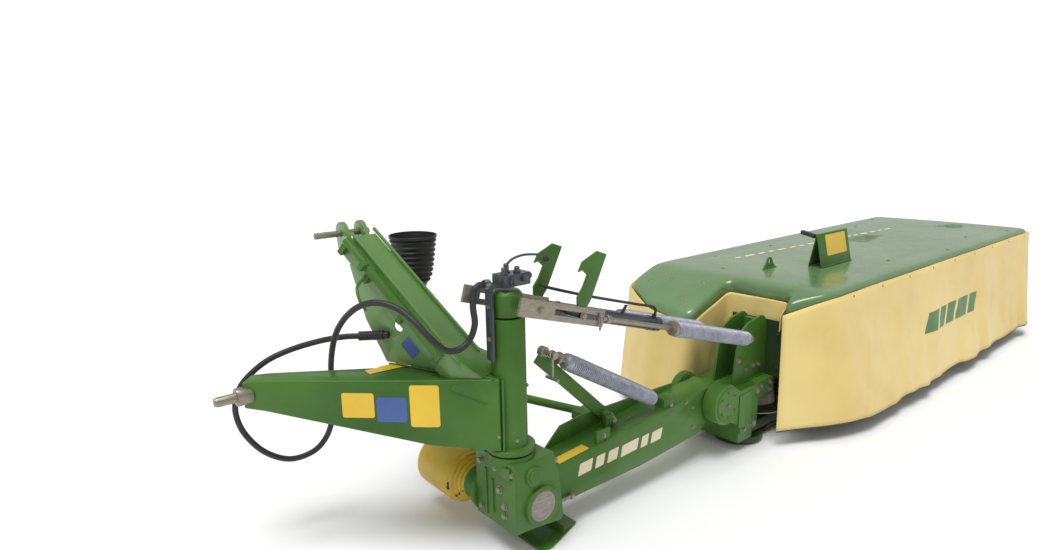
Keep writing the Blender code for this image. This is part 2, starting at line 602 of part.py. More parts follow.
def add_deck_frame(machine):
    near = (-0.03, 0.0445)
    far = (ARM_FAR + 0.0065 + 0.011, 0.245)
    cheek = arc((DECK_X, DECK_Z), 0.10, 75, 285, 14) + [(1.36, 0.10), (1.405, 0.10), (1.405, 0.33), (1.25, 0.33)]
    casting = [plate(cheek, "Y", *near), plate(cheek, "Y", *far),
               box((1.26, 1.405), (-0.03, 0.245), (0.10, 0.33)),
               box((1.26, BAR_START - GAP), (-0.02, 0.24), (0.05, 0.11))]
    pin_hole = rod((DECK_X, -0.01, DECK_Z), (DECK_X, 0.23, DECK_Z), DECK_PIN_RADIUS + GAP, sides=20)
    machine.add("gear_housing", "deck", "green_paint", casting, [pin_hole])
    machine.add("deck_pin", "deck", "steel",
                [rod((DECK_X, -0.0095, DECK_Z), (DECK_X, 0.2295, DECK_Z), DECK_PIN_RADIUS, sides=20)])

    rib = [(1.27, 0.3303), (1.56, 0.3303), (1.56, 0.60)] + arc((1.50, 0.60), 0.05, 20, 110) + \
          [(1.40, 0.635), (1.33, 0.60), (1.30, 0.50)]
    bracket = [plate(rib, "Y", 0.030, 0.042), plate(rib, "Y", 0.138, 0.150),
               box((1.44, 1.56), (0.030, 0.150), (0.3303, 0.36)),
               box((1.515, 1.545), (0.030, 0.150), (0.35, 0.62))]
    machine.add("lift_bracket", "deck", "green_paint", bracket)

    drive = [box((1.4053, 1.56), (-0.02, 0.235), (0.10, 0.33)),
             rod((1.55, DISC_Y, 0.24), (1.55, DISC_Y, 0.33), 0.10, sides=20)]
    gap_above_drum = rod((FIRST_DISC_X, DISC_Y, 0.09), (FIRST_DISC_X, DISC_Y, 0.235), 0.30, sides=24)
    machine.add("bevel_gearbox", "deck", "green_paint", drive,
                [gap_above_drum, box((1.4, 1.9), (-0.1, 0.4), (0.0, 0.236))])

    bar_end = disc_x(DISC_COUNT - 1) + 0.20
    low, high = 0.045, BAR_TOP
    section = [(DISC_Y - 0.15, low + 0.012), (DISC_Y - 0.12, low), (DISC_Y + 0.12, low), (DISC_Y + 0.15, low + 0.012),
               (DISC_Y + 0.13, high), (DISC_Y - 0.13, high)]
    solids = [plate(section, "X", BAR_START, bar_end)]
    for i in range(DISC_COUNT):
        skid = [(DISC_Y - 0.15, low + 0.005), (DISC_Y - 0.12, 0.0), (DISC_Y + 0.12, 0.0),
                (DISC_Y + 0.175, 0.03), (DISC_Y + 0.175, low + 0.005)]
        solids.append(plate(skid, "X", disc_x(i) - 0.085, disc_x(i) + 0.085))
    machine.add("cutterbar", "deck", "dark_green_paint", solids)

    machine.add("inner_skid", "deck", "dark_green_paint",
                [turned([(0, 0), (0.115, 0), (0.13, 0.02), (0.13, 0.0445), (0, 0.0445)],
                        (1.43, 0.10, 0), (0, 0, 1), 24)],
                [box((1.38, 1.8), (-0.3, 0.5), (0.0447, 0.2))])


def add_discs(machine):
    """Seven discs with two blades each; the first and last carry a drum."""
    for i in range(DISC_COUNT):
        middle = (disc_x(i), DISC_Y, BAR_TOP + 0.004)
        turn = pi / 2 * (i % 2)
        profile = [(0, 0), (0.07, 0), (0.075, 0.012), (DISC_RADIUS, 0.012), (DISC_RADIUS, 0.018),
                   (0.13, 0.034), (0.06, 0.044), (0, 0.046)]
        solids = [turned(profile, middle, (0, 0, 1), 24)]
        if i in (0, DISC_COUNT - 1):
            height = 0.13 if i == 0 else 0.24
            solids.append(turned([(0, 0.03), (0.115, 0.03), (0.10, height), (0, height)], middle, (0, 0, 1), 24))
        for half in (0, pi):
            direction = Vector((cos(turn + half), sin(turn + half), 0))
            start = Vector(middle) + direction * (DISC_RADIUS - 0.03) + AXES["Z"] * 0.013
            side = Vector((-direction.y, direction.x, 0)) * 0.022
            end = start + direction * (BLADE_REACH - DISC_RADIUS + 0.03)
            outline = [start - side, end - side * 0.8, end + side * 0.8, start + side]
            solids.append(loft([[p + AXES["Z"] * level for p in outline] for level in (0, 0.004)]))
        machine.add(f"cutting_disc_{i + 1}", f"disc_{i + 1}", "steel", solids)


# ---------------------------------------------------------------- hood and curtains

def hood_outline(inset=0.0):
    """The hood's plan, counter-clockwise from its outer rear corner, moved in by an inset."""
    corners = [(HOOD_OUTER, HOOD_REAR), (HOOD_OUTER, HOOD_FRONT), (1.42, HOOD_FRONT), (1.27, 0.56),
               (1.25, 0.285), (1.58, 0.285), (1.58, -0.085), (1.46, -0.105), (1.63, HOOD_REAR)]
    return [tuple(p) for p in offset_outline(corners, inset)]


def offset_outline(corners, inset):
    """Every side of a counter-clockwise outline moved in by the same amount."""
    count = len(corners)
    moved = []
    for i in range(count):
        before, here, after = (Vector(corners[(i + k) % count]) for k in (-1, 0, 1))
        first = (here - before).normalized()
        second = (after - here).normalized()
        normal_1, normal_2 = Vector((-first.y, first.x)), Vector((-second.y, second.x))
        bisector = (normal_1 + normal_2).normalized()
        moved.append(here + bisector * (inset / bisector.dot(normal_1)))
    return moved


def hood_drop(x):
    """How far the hood falls below its flat top at its inner end."""
    return HOOD_SLOPE * max(0.0, HOOD_SLOPE_X - x)


def lowered(mesh):
    """Cut a mesh where the hood starts to slope, and drop what lies inboard."""
    bm = bmesh.new()
    bm.from_mesh(mesh)
    bmesh.ops.bisect_plane(bm, geom=bm.verts[:] + bm.edges[:] + bm.faces[:],
                           plane_co=(HOOD_SLOPE_X, 0, 0), plane_no=(1, 0, 0))
    for vert in bm.verts:
        vert.co.z -= hood_drop(vert.co.x)
    return closed(bm)


def hood_shell(levels):
    return loft([[(*p, z) for p in hood_outline(inset)] for z, inset in levels])


def add_hood(machine):
    outer = hood_shell([(HOOD_TOP - HOOD_FLANGE, 0.0), (HOOD_TOP - 0.035, 0.0), (HOOD_TOP - 0.01, 0.015),
                        (HOOD_TOP, 0.05)])
    inner = hood_shell([(HOOD_TOP - HOOD_FLANGE - 0.05, 0.006), (HOOD_TOP - 0.04, 0.006),
                        (HOOD_TOP - 0.016, 0.02), (HOOD_TOP - 0.006, 0.055)])
    machine.add("hood", "deck", "green_paint", [lowered(outer)], [lowered(inner)])

    foot = HOOD_TOP + GAP
    bent_sheet = [(0.047, foot), (0.0525, foot), (0.088, 0.975), (0.1225, foot), (0.128, foot), (0.091, 0.985),
                  (0.085, 0.985)]
    machine.add("hood_handle", "deck", "green_paint", [plate(bent_sheet, "X", 2.11, 2.45)])
    machine.add("handle_grip", "deck", "black_rubber",
                [bar((2.128, 0.1035, 0.970), (2.165, 0.205, 0.982), 0.024, 0.022, "X")])
    machine.add("lifting_lug", "deck", "green_paint",
                [plate([(1.86, HOOD_TOP + GAP), (1.98, HOOD_TOP + GAP)] + arc((1.92, 0.835), 0.028, 0, 180), "Y",
                       0.25, 0.26)],
                [rod((1.92, 0.2, 0.838), (1.92, 0.3, 0.838), 0.014, sides=12)])


def curtain(path, bottoms, flares):
    """A hanging sheet outside the hood's edge; path points are on its inner face, in plan.

    Each point has its own bottom level and its own distance that the bottom stands out by.
    """
    points = [Vector(p) for p in path]
    outward = []
    for i, here in enumerate(points):
        before = points[max(i - 1, 0)]
        after = points[min(i + 1, len(points) - 1)]
        first = (here - before).normalized() if i else (after - here).normalized()
        second = (after - here).normalized() if i < len(points) - 1 else first
        normal_1, normal_2 = Vector((first.y, -first.x)), Vector((second.y, -second.x))
        bisector = (normal_1 + normal_2).normalized()
        outward.append(bisector * (CURTAIN_THICKNESS / bisector.dot(normal_1)))
    loops = []
    for here, out, bottom, flare in zip(points, outward, bottoms, flares):
        top = CURTAIN_TOP - hood_drop(here.x)
        far = here + out
        lean = out * (flare / CURTAIN_THICKNESS)
        loops.append([(*(here + lean), bottom), (*(far + lean), bottom), (*far, top), (*here, top)])
    return loft(loops)


def add_curtains(machine):
    edge = offset_outline([(HOOD_OUTER, HOOD_REAR), (HOOD_OUTER, HOOD_FRONT), (1.42, HOOD_FRONT),
                           (1.27, 0.56), (1.25, 0.285), (1.58, 0.285), (1.58, -0.085), (1.46, -0.105),
                           (1.63, HOOD_REAR)], -0.001)
    outer_rear, outer_front, inner_front, inner_mid, notch_a, notch_b, notch_c, notch_d, inner_rear = edge
    seam = 0.012
    low = CURTAIN_BOTTOM
    flare = CURTAIN_FLARE
    machine.add("curtain_rear", "deck", "cream_fabric", [curtain(
        [(notch_d.x, notch_d.y), (inner_rear.x, inner_rear.y), (outer_rear.x - seam, outer_rear.y)],
        [low] * 3, [0.0, flare, flare])])
    machine.add("curtain_outer", "deck", "cream_fabric", [curtain(
        [(outer_rear.x, outer_rear.y), (outer_front.x, outer_front.y)], [low] * 2,
        [flare] * 2)])
    machine.add("curtain_front", "deck", "cream_fabric", [curtain(
        [(outer_front.x - seam, outer_front.y), (inner_front.x + seam, inner_front.y)], [low] * 2,
        [flare] * 2)])
    machine.add("curtain_inner", "deck", "cream_fabric", [curtain(
        [(inner_front.x, inner_front.y), (inner_mid.x, inner_mid.y), (notch_a.x, notch_a.y),
         (notch_b.x, notch_b.y), (notch_c.x, notch_c.y), (notch_d.x + seam, notch_d.y + 0.003)],
        [low, low, low, 0.60, 0.60, 0.60], [flare, 0.03, 0.0, 0.0, 0.0, 0.0])])


def main():
    for old in list(bpy.data.objects):
        bpy.data.objects.remove(old)
    machine = Machine()
    add_headstock(machine)
    add_hose(machine)
    add_pivot_block(machine)
    add_boom(machine)
    add_lift(machine)
    add_deck_frame(machine)
    add_discs(machine)
    add_hood(machine)
    add_curtains(machine)


main()
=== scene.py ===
"""Looks of the rear-mounted disc mower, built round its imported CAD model."""

import json
from math import ceil, cos, hypot, pi, radians, sin

import bmesh
import bpy
from mathutils import Matrix, Vector, noise
from mathutils.bvhtree import BVHTree
from mathutils.geometry import delaunay_2d_cdt
from mathutils.kdtree import KDTree


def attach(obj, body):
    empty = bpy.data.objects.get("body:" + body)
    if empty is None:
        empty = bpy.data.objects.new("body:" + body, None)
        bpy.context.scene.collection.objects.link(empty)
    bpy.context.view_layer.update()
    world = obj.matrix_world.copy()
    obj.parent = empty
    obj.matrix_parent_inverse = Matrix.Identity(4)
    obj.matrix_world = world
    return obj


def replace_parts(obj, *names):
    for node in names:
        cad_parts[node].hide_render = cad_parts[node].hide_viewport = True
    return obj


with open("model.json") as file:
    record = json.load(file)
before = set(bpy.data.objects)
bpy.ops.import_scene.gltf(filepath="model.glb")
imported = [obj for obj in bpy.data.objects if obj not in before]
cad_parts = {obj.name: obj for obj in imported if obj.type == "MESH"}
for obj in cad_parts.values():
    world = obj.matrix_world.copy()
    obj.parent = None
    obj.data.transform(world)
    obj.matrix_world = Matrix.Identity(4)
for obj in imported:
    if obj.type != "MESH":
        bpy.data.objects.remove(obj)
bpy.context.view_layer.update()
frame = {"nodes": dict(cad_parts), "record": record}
NODES = frame["nodes"]
RECORD = frame["record"]
BODY_OF = {node: body for body, nodes in RECORD["behaviour"]["bodies"].items() for node in nodes}
SLOT_OF = {row["node"]: row["material_slot"] for row in RECORD["subparts"]}
X, Y, Z = Vector((1, 0, 0)), Vector((0, 1, 0)), Vector((0, 0, 1))

# ---------------------------------------------------------------- sizes shared with the CAD model

LIFT_X, LIFT_Z = -0.05, 0.98      # upper pivot of the lift cylinder
EYE_X, EYE_Z = 1.35, 0.566        # its lower eye on the deck's bracket
LIFT_Y, LIFT_ALONG = 0.09, Vector((EYE_X - LIFT_X, 0, EYE_Z - LIFT_Z)).normalized()
SPRING_NEAR_Y, SPRING_FAR_Y = -0.02, 0.215
SPRING_RADIUS, SPRING_WIRE = 0.036, 0.0045
COIL_PITCH = 2.45                 # of the springs, in wire radii
GEAR_X, GEAR_Z = 1.149, 0.287     # centre of the deck's gear housing
HOOD_TOP = 0.8
HOOD_CORNERS = [(4.52, -0.27), (4.52, 0.83), (1.42, 0.83), (1.27, 0.56), (1.25, 0.285), (1.58, 0.285),
                (1.58, -0.085), (1.46, -0.105), (1.63, -0.27)]
HOOD_SLOPE_X, HOOD_SLOPE = 1.62, 0.4
HOOD_CORNER = 0.055
HOOD_SHEET, CURTAIN_SHEET = 0.004, 0.0022         # thicknesses
CURTAIN_BOTTOM, CURTAIN_FLARE = 0.08, 0.05
CURTAIN_SEAM, CURTAIN_STEP = 0.012, 0.026
CURTAIN_GAP, CURTAIN_LEAST_GAP = 0.0085, 0.004    # from the hood's rim out to the sheet
REAR_CORNER_SHIFT = Vector((0.31, -0.065))        # of the rear curtain's inner corner, from hood to hem
FRONT_CORNER_SHIFT = Vector((-0.029, 0.05))       # of the corner between the front and inner curtains
BEAM_ALONG, BEAM_OUT = Vector((-0.756, 0.654, 0)), Vector((-0.654, -0.756, 0))     # left hitch beam
BEAM_START = Vector((-0.06, 0.1, 0))
PLATE_FRONT, PLATE_BACK = 0.00084, 0.00014         # how far a plate's faces stand off what it lies on
TRIMS = {"top_link_beam": [(Z * 0.7206, -Z), (BEAM_START + BEAM_OUT * 0.072, BEAM_OUT)]}
HOSE_RADIUS = 0.0115
HOSE_EXIT = Vector((-0.1655, 0.095, 1.065))

# ---------------------------------------------------------------- camera, floor and light

CAMERA_AT = Vector((-1.531, -1.808, 1.589))
CAMERA_YAW, CAMERA_PITCH, CAMERA_ROLL = radians(39.242), radians(11.906), radians(-1.318)
CAMERA_LENS = 23.62
AMBIENT, SUN_STRENGTH, SUN_SPREAD = 0.54, 2.2, 28
SUN_TOWARD = Vector((-0.3, -0.12, 1))     # from the part to the sun


def linked(name, data):
    """A new object in the scene."""
    made = bpy.data.objects.new(name, data)
    bpy.context.scene.collection.objects.link(made)
    return made


def add_camera():
    data = bpy.data.cameras.new("camera")
    data.lens = CAMERA_LENS
    data.sensor_width = 36.0
    made = linked("camera", data)
    turn = Matrix.Rotation(-CAMERA_YAW, 4, "Z") @ Matrix.Rotation(pi / 2 - CAMERA_PITCH, 4, "X")
    made.matrix_world = Matrix.Translation(CAMERA_AT) @ turn @ Matrix.Rotation(CAMERA_ROLL, 4, "Z")
    bpy.context.scene.camera = made


def add_stage():
    """A plain pale floor that runs out to a pale world, under one large soft sun."""
    bm = bmesh.new()
    bmesh.ops.create_grid(bm, x_segments=2, y_segments=2, size=40)
    white = plain_material("floor_white", (0.9, 0.9, 0.9), 0.95)
    floor = linked("floor", mesh_of("floor", bm, white))
    floor.location = (1.8, 0.3, -0.0005)
    world = bpy.data.worlds.new("world")
    bpy.context.scene.world = world
    world.use_nodes = True
    tree = world.node_tree
    soft = tree.nodes["Background"]
    soft.inputs["Strength"].default_value = AMBIENT
    seen = tree.nodes.new("ShaderNodeBackground")
    for background in (soft, seen):
        background.inputs["Color"].default_value = (1, 1, 1, 1)
    choice = tree.nodes.new("ShaderNodeMixShader")
    tree.links.new(tree.nodes.new("ShaderNodeLightPath").outputs["Is Camera Ray"], choice.inputs[0])
    tree.links.new(soft.outputs[0], choice.inputs[1])
    tree.links.new(seen.outputs[0], choice.inputs[2])
    tree.links.new(choice.outputs[0], tree.nodes["World Output"].inputs["Surface"])
    bpy.context.scene.view_settings.view_transform = "Standard"
    sun = bpy.data.lights.new("soft_key", "SUN")
    sun.energy = SUN_STRENGTH
    sun.angle = radians(SUN_SPREAD)
    linked("soft_key", sun).rotation_euler = SUN_TOWARD.to_track_quat("Z", "Y").to_euler()


# ---------------------------------------------------------------- materials

def plain_material(name, color, roughness):
    made = bpy.data.materials.new(name)
    made.use_nodes = True
    shader = made.node_tree.nodes["Principled BSDF"]
    shader.inputs["Base Color"].default_value = (*color, 1)
    shader.inputs["Roughness"].default_value = roughness
    return made


class Finish:
    """Small helper that grows a node tree round one Principled shader."""

    def __init__(self, name, roughness=0.5, metallic=0.0, coat=0.0, sheen=0.0, specular=0.5):
        self.material = bpy.data.materials.new(name)
        self.material.use_nodes = True
        self.tree = self.material.node_tree
        self.shader = self.tree.nodes["Principled BSDF"]
        values = {"Roughness": roughness, "Metallic": metallic, "Coat Weight": coat, "Coat Roughness": 0.15,
                  "Sheen Weight": sheen, "Specular IOR Level": specular}
        for key, value in values.items():
            self.shader.inputs[key].default_value = value
        self.place = self.tree.nodes.new("ShaderNodeTexCoord").outputs["Object"]
        self.bumps = None

    def node(self, kind, **inputs):
        made = self.tree.nodes.new(kind)
        for key, value in inputs.items():
            made.inputs[key.replace("_", " ")].default_value = value
        return made

    def link(self, output, target):
        self.tree.links.new(output, target)

    def noise(self, scale, detail=3.0, roughness=0.55, stretch=None):
        made = self.node("ShaderNodeTexNoise", Scale=scale, Detail=detail, Roughness=roughness)
        source = self.place
        if stretch:
            mapping = self.node("ShaderNodeMapping", Scale=stretch)
            self.link(source, mapping.inputs["Vector"])
            source = mapping.outputs["Vector"]
        self.link(source, made.inputs["Vector"])
        return made.outputs["Fac"]

    def ramp(self, source, stops):
        made = self.node("ShaderNodeValToRGB")
        elements = made.color_ramp.elements
        while len(elements) < len(stops):
            elements.new(0.5)
        for element, (place, color) in zip(elements, stops):
            element.position = place
            element.color = (*color, 1) if isinstance(color, tuple) else (color, color, color, 1)
        self.link(source, made.inputs["Fac"])
        return made.outputs["Color"]

    def mix(self, factor, below, color):
        """Lay a plain colour over another output where the factor is high."""
        made = self.tree.nodes.new("ShaderNodeMix")
        made.data_type = "RGBA"
        self.link(factor, made.inputs[0])
        self.link(below, made.inputs[6])
        made.inputs[7].default_value = (*color, 1)
        return made.outputs[2]

    def color(self, output):
        self.link(output, self.shader.inputs["Base Color"])

    def rough(self, output):
        self.link(output, self.shader.inputs["Roughness"])

    def bump(self, height, strength, distance):
        made = self.node("ShaderNodeBump", Strength=strength, Distance=distance)
        self.link(height, made.inputs["Height"])
        if self.bumps:
            self.link(self.bumps, made.inputs["Normal"])
        self.bumps = made.outputs["Normal"]
        self.link(self.bumps, self.shader.inputs["Normal"])


def paint(name, base, light, dark, worn=0.1, roughness=(0.28, 0.42), coat=0.25, specular=0.5):
    """Machine paint: slow colour drift, dust in the light patches, scuffs and orange peel."""
    made = Finish(name, coat=coat, specular=specular)
    drift = made.ramp(made.noise(1.7, 4), [(0.32, dark), (0.52, base), (0.75, light)])
    dust = made.ramp(made.noise(9.0, 6, 0.7), [(0.55, 0.0), (0.8, worn)])
    tinted = made.mix(dust, drift, (0.23, 0.24, 0.16))
    scuffs = made.ramp(made.noise(55.0, 5, 0.8, (1, 1, 0.25)), [(0.7, 0.0), (0.76, worn * 0.8)])
    made.color(made.mix(scuffs, tinted, (0.32, 0.36, 0.25)))
    made.rough(made.ramp(made.noise(14.0, 4), [(0.3, roughness[0]), (0.7, roughness[1])]))
    made.bump(made.noise(260.0, 2), 0.1, 0.0006)
    made.bump(made.noise(24.0, 3), 0.1, 0.002)
    return made.material


def curtain_fabric():
    """Coated cream tarpaulin: fine weave under the coat, soft creases and a few dirty patches."""
    made = Finish("cream_tarpaulin", roughness=0.55, sheen=0.15, specular=0.4)
    shade = made.ramp(made.noise(1.1, 5, 0.6), [(0.3, (0.74, 0.54, 0.17)), (0.55, (0.84, 0.65, 0.24)),
                                                (0.8, (0.89, 0.72, 0.31))])
    stain = made.ramp(made.noise(4.5, 6, 0.7, (1, 1, 0.35)), [(0.58, 0.0), (0.85, 0.3)])
    made.color(made.mix(stain, shade, (0.52, 0.37, 0.15)))
    made.rough(made.ramp(made.noise(6.0, 3), [(0.3, 0.42), (0.7, 0.62)]))
    for direction in ("X", "Z"):
        weave = made.node("ShaderNodeTexWave", Scale=190.0, Distortion=0.6, Detail=1.0)
        weave.bands_direction = direction
        made.link(made.place, weave.inputs["Vector"])
        made.bump(weave.outputs["Fac"], 0.12, 0.0006)
    made.bump(made.noise(5.0, 5, 0.6, (1, 1, 0.45)), 0.35, 0.02)
    return made.material


def metal(name, base, dark, roughness=(0.25, 0.5), metallic=0.9, grain=(1, 1, 8)):
    made = Finish(name, metallic=metallic)
    streaks = made.noise(30.0, 5, 0.7, grain)
    made.color(made.ramp(streaks, [(0.3, dark), (0.7, base)]))
    made.rough(made.ramp(made.noise(18.0, 4), [(0.3, roughness[0]), (0.75, roughness[1])]))
    made.bump(made.noise(120.0, 3), 0.08, 0.001)
    return made.material


def plastic(name, base, dark, roughness=(0.3, 0.45), coat=0.3, fine=180.0):
    made = Finish(name, coat=coat)
    made.color(made.ramp(made.noise(3.0, 5, 0.6), [(0.3, dark), (0.7, base)]))
    made.rough(made.ramp(made.noise(11.0, 4), [(0.3, roughness[0]), (0.7, roughness[1])]))
    made.bump(made.noise(fine, 3), 0.12, 0.0008)
    return made.material


GREEN = paint("green_machine_paint", (0.062, 0.165, 0.024), (0.09, 0.21, 0.042), (0.04, 0.118, 0.016),
              coat=0.06, specular=0.25)
# A lighter copy of the machine green for the top link beam and its flanges: painted highlight, standing for
# sunlight and the sky's reflection on the beam.
SKYLIT_BEAM_GREEN = paint("green_beam_paint_painted_highlight", (0.105, 0.235, 0.05), (0.14, 0.29, 0.078),
                   (0.075, 0.175, 0.035), coat=0.5)
# A lighter copy of the machine green for the coupling panel: painted highlight, standing for sunlight and the
# sky's reflection on it.
SUNLIT_PANEL_GREEN = paint("green_panel_paint_painted_highlight", (0.185, 0.34, 0.115), (0.23, 0.39, 0.155), (0.14, 0.275, 0.085),
                    0.05, coat=0.4)
HOOD_GREEN = paint("green_hood", (0.13, 0.24, 0.09), (0.165, 0.29, 0.125), (0.1, 0.195, 0.065), 0.06,
                   (0.22, 0.34), 0.55)
DARK_GREEN = paint("dark_green_paint", (0.022, 0.048, 0.012), (0.034, 0.07, 0.02), (0.012, 0.028, 0.008),
                   0.15, (0.4, 0.6), 0.05)
CREAM = curtain_fabric()
YELLOW = plastic("ochre_guard", (0.62, 0.43, 0.03), (0.45, 0.29, 0.018), (0.28, 0.42), 0.15)
ZINC = metal("zinc_plate", (0.37, 0.34, 0.27), (0.23, 0.205, 0.155), (0.3, 0.5), 0.7)
SPRING = metal("spring_wire", (0.44, 0.46, 0.52), (0.24, 0.25, 0.3), (0.35, 0.5), 0.35, (1, 1, 1))
BLACK = plastic("black_rubber", (0.024, 0.024, 0.026), (0.012, 0.012, 0.014), (0.45, 0.65), 0.05, 320.0)
BLUE_BLACK = paint("cylinder_paint", (0.045, 0.055, 0.075), (0.07, 0.085, 0.11), (0.025, 0.03, 0.045), 0.12,
                   (0.25, 0.4), 0.3)
STEEL = metal("bare_steel", (0.36, 0.33, 0.3), (0.2, 0.18, 0.16), (0.3, 0.55), 0.8)
PLATE_YELLOW = plastic("plate_yellow", (0.85, 0.58, 0.02), (0.75, 0.48, 0.02), (0.3, 0.4), 0.4)
PLATE_BLUE = plastic("plate_blue", (0.045, 0.12, 0.36), (0.03, 0.08, 0.27), (0.3, 0.4), 0.4)
# Black for the guard's toothed seam, and painted shade where the guard's rim holes are drawn as discs.
SEAM_BLACK_AND_HOLE_SHADE = plain_material("seam_black_and_painted_hole_shade", (0.02, 0.02, 0.02), 0.5)
MARK_CREAM = plastic("mark_cream", (0.8, 0.72, 0.5), (0.68, 0.6, 0.4), (0.4, 0.5), 0.1)
MARK_GREEN = plastic("mark_green", (0.07, 0.2, 0.04), (0.05, 0.15, 0.03), (0.4, 0.5), 0.1)

# Each slot's finishes; the first is the one that the slot's CAD nodes wear.
SLOT_FINISHES = {
    "green_paint": [GREEN, SKYLIT_BEAM_GREEN, SUNLIT_PANEL_GREEN, HOOD_GREEN, MARK_GREEN], "dark_green_paint": [DARK_GREEN],
    "cream_fabric": [CREAM, MARK_CREAM], "yellow_plastic": [YELLOW, PLATE_YELLOW, PLATE_BLUE], "zinc": [ZINC],
    "spring_steel": [SPRING], "black_rubber": [BLACK, SEAM_BLACK_AND_HOLE_SHADE], "cylinder_paint": [BLUE_BLACK], "steel": [STEEL],
}
# The top link beam and the coupling panel wear the lighter greens, whose extra lightness is painted highlight.
NODE_FINISHES = {"top_link_beam": SKYLIT_BEAM_GREEN, "coupling_panel": SUNLIT_PANEL_GREEN}


def finish_of(node):
    return NODE_FINISHES.get(node, SLOT_FINISHES[SLOT_OF[node]][0])


def dress_nodes():
    """Give every CAD node its finish."""
    for name in SLOT_OF:
        materials = NODES[name].data.materials
        materials.clear()
        materials.append(finish_of(name))


# ---------------------------------------------------------------- mesh tools

def sides_of(direction):
    """Two unit vectors square to a direction and to each other."""
    direction = Vector(direction).normalized()
    side = direction.cross(Z) if abs(direction.z) < 0.99 else direction.cross(Y)
    side.normalize()
    return side, direction.cross(side)


def spline(points, steps):
    """Points on a Catmull-Rom curve through the given ones."""
    points = [Vector(p) for p in points]
    padded = [points[0] * 2 - points[1]] + points + [points[-1] * 2 - points[-2]]
    made = []
    for a, b, c, d in zip(padded, padded[1:], padded[2:], padded[3:]):
        for i in range(steps):
            t = i / steps
            made.append(0.5 * (2 * b + (c - a) * t + (2 * a - 5 * b + 4 * c - d) * t * t
                               + (3 * b - a - 3 * c + d) * t ** 3))
    return made + [points[-1]]


def lengths(points):
    """How far along its path each point lies."""
    made = [0.0]
    for a, b in zip(points, points[1:]):
        made.append(made[-1] + (b - a).length)
    return made


class Shape:
    """Gathers small closed solids into one mesh."""

    def __init__(self):
        self.bm = bmesh.new()

    def wall(self, lines, loop=True):
        """Faces between neighbouring lines of points; gives back the lines' vertices."""
        rows = [[self.bm.verts.new(p) for p in line] for line in lines]
        for row, following in zip(rows, rows[1:]):
            for i in range(len(row) - (not loop)):
                j = (i + 1) % len(row)
                self.bm.faces.new((row[i], row[j], following[j], following[i]))
        return rows

    def skin(self, rings):
        """A solid skinned over rings of points, closed at both ends."""
        rows = self.wall(rings)
        self.bm.faces.new(rows[0])
        self.bm.faces.new(rows[-1])
        return self

    def tube(self, points, radius, sides=8):
        points = [Vector(p) for p in points]
        side, _ = sides_of(points[1] - points[0])
        rings = []
        for i, here in enumerate(points):
            along = (points[min(i + 1, len(points) - 1)] - points[max(i - 1, 0)]).normalized()
            side = (side - along * side.dot(along)).normalized()
            up = along.cross(side)
            size = radius[i] if isinstance(radius, list) else radius
            rings.append([here + (side * cos(t) + up * sin(t)) * size
                          for t in (2 * pi * k / sides for k in range(sides))])
        return self.skin(rings)

    def turned(self, profile, base, direction, sides=20):
        """A solid of revolution: (radius, distance) pairs in mm along a direction."""
        base, direction = Vector(base), Vector(direction).normalized()
        side, up = sides_of(direction)
        turns = [2 * pi * k / sides for k in range(sides)]
        return self.skin([[base + (direction * distance + (side * cos(t) + up * sin(t)) * max(radius, 0.1))
                           / 1000 for t in turns] for radius, distance in profile])

    def block(self, start, end, width, height, across=Y):
        """A bar between two points; its width lies along the across vector."""
        start, end = Vector(start), Vector(end)
        along = (end - start).normalized()
        across = (across - along * across.dot(along)).normalized() * width / 2
        up = along.cross(across).normalized() * height / 2
        return self.skin([[p - across - up, p + across - up, p + across + up, p - across + up]
                          for p in (start, end)])

    def prism(self, outline, depth):
        outline = [Vector(p) for p in outline]
        return self.skin([outline, [p + depth for p in outline]])

    def bolt(self, place, normal, size):
        """A hexagon head, size mm from middle to corner, on a washer, with the thread's end standing out."""
        washer = [(1.25, -1 / size), (1.25, 0.16), (1.1, 0.2)]
        head = [(0.9, 0), (1, 0.1), (1, 0.8), (0.85, 0.88)]
        thread = [(0.5, 0), (0.5, 1), (0.4, 1.12)]
        for profile, sides in ((washer, 16), (head, 6), (thread, 10)):
            self.turned([(radius * size, level * size) for radius, level in profile], place, normal, sides)
        return self

    def made(self, name, body, finish, sharp=35, bevel=0.0):
        """Finish the mesh as one piece that rides on a body."""
        bmesh.ops.recalc_face_normals(self.bm, faces=self.bm.faces)
        return place_piece(name, mesh_of(name, self.bm, finish), body, sharp, bevel)


def mesh_of(name, bm, finish):
    """Turn a finished bmesh into a mesh with one material."""
    mesh = bpy.data.meshes.new(name)
    bm.to_mesh(mesh)
    bm.free()
    mesh.materials.append(finish)
    return mesh


def place_piece(name, mesh, body, sharp=35, bevel=0.0):
    piece = linked(name, mesh)
    mesh.shade_smooth()
    if bevel:
        add_bevel(piece, bevel)
    else:
        mesh.set_sharp_from_angle(angle=radians(sharp))
    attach(piece, body)
    return piece


def add_bevel(piece, width):
    rounding = piece.modifiers.new("rounding", "BEVEL")
    rounding.width = width
    rounding.segments = 2
    rounding.limit_method = "ANGLE"
    rounding.angle_limit = radians(32)
    rounding.harden_normals = True


def copy_of(node):
    bm = bmesh.new()
    bm.from_mesh(NODES[node].data)
    return bm


def thicken(piece, thickness, offset):
    skin = piece.modifiers.new("sheet", "SOLIDIFY")
    skin.thickness = thickness
    skin.offset = offset


